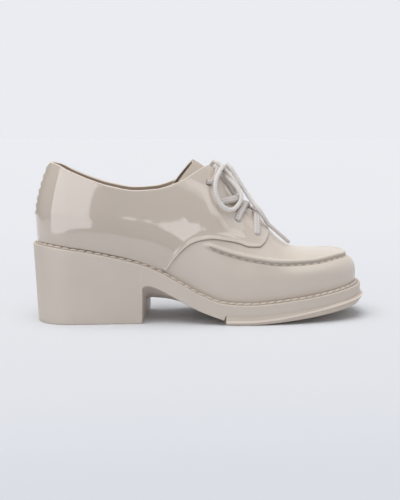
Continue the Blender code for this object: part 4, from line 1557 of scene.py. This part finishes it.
def make_material(name, colour, roughness, spread, grain, bump, cloud, rough_spread,
                  coat=0.0, coat_roughness=0.05, specular=0.5):
    """Moulded plastic: cloudy colour, uneven roughness and a fine grain in its surface."""
    material, tree, shader = new_material(name)
    set_values(shader, Specular_IOR_Level=specular, Coat_Weight=coat, Coat_Roughness=coat_roughness)
    place_node = add_node(tree, "ShaderNodeTexCoord")
    clouds = add_node(tree, "ShaderNodeTexNoise", Scale=cloud, Detail=CLOUD_DETAIL, Roughness=CLOUD_ROUGHNESS)
    wire(place_node, "Object", clouds, "Vector")
    tint = add_node(tree, "ShaderNodeValToRGB")
    for stop, share, level in zip(tint.color_ramp.elements, CLOUD_RANGE, (1 - spread, 1 + spread)):
        stop.position = share
        stop.color = (*[c * level for c in colour], 1)
    wire(clouds, "Fac", tint, "Fac")
    wire(tint, "Color", shader, "Base Color")
    low, high = roughness - rough_spread, roughness + rough_spread
    rough = add_node(tree, "ShaderNodeMapRange", To_Min=low, To_Max=high)
    wire(clouds, "Fac", rough, "Value")
    wire(rough, "Result", shader, "Roughness")
    fine = add_node(tree, "ShaderNodeTexNoise", Scale=grain, Detail=GRAIN_DETAIL)
    wire(place_node, "Object", fine, "Vector")
    relief = add_node(tree, "ShaderNodeBump", Strength=bump, Distance=GRAIN_DEPTH)
    wire(fine, "Fac", relief, "Height")
    wire(relief, "Normal", shader, "Normal")
    return material


def make_lace_material(name, light, dark):
    """Round braided lace: two tones of yarn in a diamond weave."""
    material, tree, shader = new_material(name)
    set_values(shader, Roughness=LACE_ROUGHNESS, Sheen_Weight=LACE_SHEEN)
    spot = add_node(tree, "ShaderNodeTexCoord")
    angle = math.radians(WEAVE_ANGLE)
    turn = add_node(tree, "ShaderNodeMapping", Rotation=(0, 0, angle), Scale=(WEAVE_SCALE, WEAVE_SCALE, 1))
    wire(spot, "UV", turn, "Vector")
    weave = add_node(tree, "ShaderNodeTexChecker", Scale=1.0, Color1=(*light, 1), Color2=(*dark, 1))
    wire(turn, "Vector", weave, "Vector")
    fuzz = add_node(tree, "ShaderNodeTexNoise", Scale=FUZZ_SCALE, Detail=FUZZ_DETAIL)
    wire(spot, "Object", fuzz, "Vector")
    yarn = multiplied(tree, FUZZ_SHARE, weave.outputs["Color"], fuzz.outputs["Color"])
    tree.links.new(yarn, shader.inputs["Base Color"])
    relief = add_node(tree, "ShaderNodeBump", Strength=FUZZ_BUMP, Distance=FUZZ_DEPTH)
    wire(fuzz, "Fac", relief, "Height")
    wire(relief, "Normal", shader, "Normal")
    return material


def make_looks():
    """Materials of the shoe, by the name of their look."""
    looks = {}
    for look, name, share, warmth, *values in LOOKS.rows:
        colour = (GREIGE[0] * share * (1 + warmth), GREIGE[1] * share, GREIGE[2] * share * (1 - warmth))
        looks[look] = make_material(name, colour, *values, **GLOSS.get(look, {}))
    looks["lace"] = make_lace_material("braided_lace", LACE_LIGHT, LACE_DARK)
    # Darker copy of the lace for the laces over the flaps: painted shade
    looks["shaded_lace"] = make_lace_material("shaded_lace", SHADED_LACE_LIGHT, SHADED_LACE_DARK)
    looks["tip"] = make_material("lace_tip", TIP_COLOUR, *TIP_LOOK)
    return looks


def make_floor():
    """Wide pale floor, a little darker in front."""
    bpy.ops.mesh.primitive_plane_add(size=FLOOR_SIZE)
    floor = bpy.context.object
    floor.name = "floor"
    material = make_material("pale_floor", FLOOR_COLOUR, *FLOOR_LOOK, specular=FLOOR_SPECULAR)
    tree = material.node_tree
    base = tree.nodes["Principled BSDF"].inputs["Base Color"]
    colour = base.links[0].from_socket
    spot = add_node(tree, "ShaderNodeTexCoord")
    split = add_node(tree, "ShaderNodeSeparateXYZ")
    wire(spot, "Object", split, "Vector")
    depth = add_node(tree, "ShaderNodeMapRange", From_Min=FLOOR_FADE[0], From_Max=FLOOR_FADE[1])
    wire(split, "Y", depth, "Value")
    fade = add_node(tree, "ShaderNodeValToRGB")
    stops = fade.color_ramp.elements
    while len(stops) < len(FLOOR_TINTS):
        stops.new(0.5)
    for stop, (share, tint) in zip(stops, FLOOR_TINTS):
        stop.position = share
        stop.color = (*tint, 1)
    wire(depth, "Result", fade, "Fac")
    tree.links.new(multiplied(tree, 1.0, colour, fade.outputs["Color"]), base)
    floor.data.materials.append(material)


def facing(spot, way):
    """Placing at a spot of something that looks along a way."""
    return Matrix.Translation(spot) @ way.to_track_quat("-Z", "Y").to_matrix().to_4x4()


def aimed(spot, aim):
    """Placing at a spot of something that looks at a point."""
    return facing(spot, Vector(aim) - Vector(spot))


def add_card(name, spot, aim, size, strength, roll, taper):
    """Softbox or flag that shows only in glossy surfaces: a plane at a spot, facing a point, in metres."""
    bpy.ops.mesh.primitive_plane_add(size=1)
    card = bpy.context.object
    card.name = name
    for corner in card.data.vertices:
        if corner.co.y < 0:
            corner.co.x *= taper
    turn = Matrix.Rotation(math.radians(roll), 4, "Z")
    card.matrix_world = aimed(spot, aim) @ turn @ Matrix.Diagonal((*size, 1, 1))
    material, tree, _ = new_material(name)
    glow = add_node(tree, "ShaderNodeEmission", Strength=strength)
    tree.links.new(glow.outputs["Emission"], tree.nodes["Material Output"].inputs["Surface"])
    card.data.materials.append(material)
    card.visible_camera = False
    card.visible_diffuse = False
    card.visible_shadow = False
    card.visible_transmission = False


def make_lights():
    """Even soft light from all round and above, and the softboxes and flags that the gloss shows."""
    world = bpy.data.worlds.new("studio")
    bpy.context.scene.world = world
    world.use_nodes = True
    tree = world.node_tree
    soft = tree.nodes["Background"]
    set_values(soft, Color=(*SKY_COLOUR, 1), Strength=SKY_STRENGTH)
    path = add_node(tree, "ShaderNodeLightPath")
    last = soft
    for ray, colour, strength in SKY_RAYS:
        seen = add_node(tree, "ShaderNodeBackground", Color=(*colour, 1), Strength=strength)
        pick = add_node(tree, "ShaderNodeMixShader")
        wire(path, ray, pick, "Fac")
        wire(last, 0, pick, 1)
        wire(seen, 0, pick, 2)
        last = pick
    tree.links.new(last.outputs[0], tree.nodes["World Output"].inputs["Surface"])
    sun = bpy.data.lights.new("overhead_light", "SUN")
    sun.energy = SUN_STRENGTH
    sun.angle = math.radians(SUN_ANGLE)
    overhead = bpy.data.objects.new("overhead_light", sun)
    overhead.matrix_world = aimed(SUN_FROM, (0, 0, 0))
    overhead.visible_glossy = False
    bpy.context.scene.collection.objects.link(overhead)
    for card in CARDS.rows:
        add_card(*card)


def make_camera():
    """Camera that sees the shoe as the photograph does."""
    yaw, pitch = math.radians(CAMERA_YAW), math.radians(CAMERA_PITCH)
    spot = (CAMERA_X - CAMERA_DISTANCE * math.sin(yaw), -CAMERA_DISTANCE * math.cos(yaw), CAMERA_HEIGHT)
    ahead = Vector((math.sin(yaw) * math.cos(pitch), math.cos(yaw) * math.cos(pitch), -math.sin(pitch)))
    camera = bpy.data.objects.new("camera", bpy.data.cameras.new("camera"))
    camera.data.sensor_fit = "VERTICAL"
    camera.data.sensor_height = SENSOR_HEIGHT
    camera.data.lens = CAMERA_LENS
    camera.data.clip_start, camera.data.clip_end = CAMERA_CLIP
    camera.matrix_world = facing(place(spot), ahead)
    bpy.context.scene.collection.objects.link(camera)
    bpy.context.scene.camera = camera


def settle_piece(piece, slot, *nodes):
    """Gives a piece its body and hides the nodes that it replaces; its slot is not used."""
    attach(piece, "root")
    if nodes:
        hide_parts(*nodes)


def main():
    """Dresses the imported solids, and sets the stage."""
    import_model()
    make_camera()
    looks = make_looks()
    knot = make_knot(looks)
    settle_piece(knot, "lace", "lace_knot")
    for side, route in (("near", LOOP_NEAR), ("far", LOOP_FAR)):
        loop, line = tube(f"bow_loop_{side}", route, LACE_DIAMETER, looks["lace"])
        settle_piece(loop, "lace", f"lace_loop_{side}")
    for side, route, tip in (("near", END_NEAR, AGLET_TIP_NEAR), ("far", END_FAR, AGLET_TIP_FAR)):
        end, line = tube(f"bow_end_{side}", route, LACE_DIAMETER, looks["lace"])
        settle_piece(end, "lace", f"lace_end_{side}")
        aglet = make_aglet(f"tip_{side}", route, tip, looks)
        settle_piece(aglet, "lace_tip", f"aglet_{side}")
    for node, piece in make_lacing(looks).items():
        settle_piece(piece, "lace", node)
    settle_piece(make_upper(looks), "upper", "upper")
    settle_piece(make_sole(looks), "sole", "sole")
    settle_piece(make_tread(looks), "tread", "outsole_forepart")
    settle_piece(make_tongue(looks), "tongue", "tongue")
    settle_piece(make_insole(looks), "insole", "insole")
    welt, apron = make_stitches(looks)
    settle_piece(welt, "sole")
    settle_piece(apron, "upper")
    make_floor()
    make_lights()
    bpy.context.scene.view_settings.view_transform = "Standard"


main()
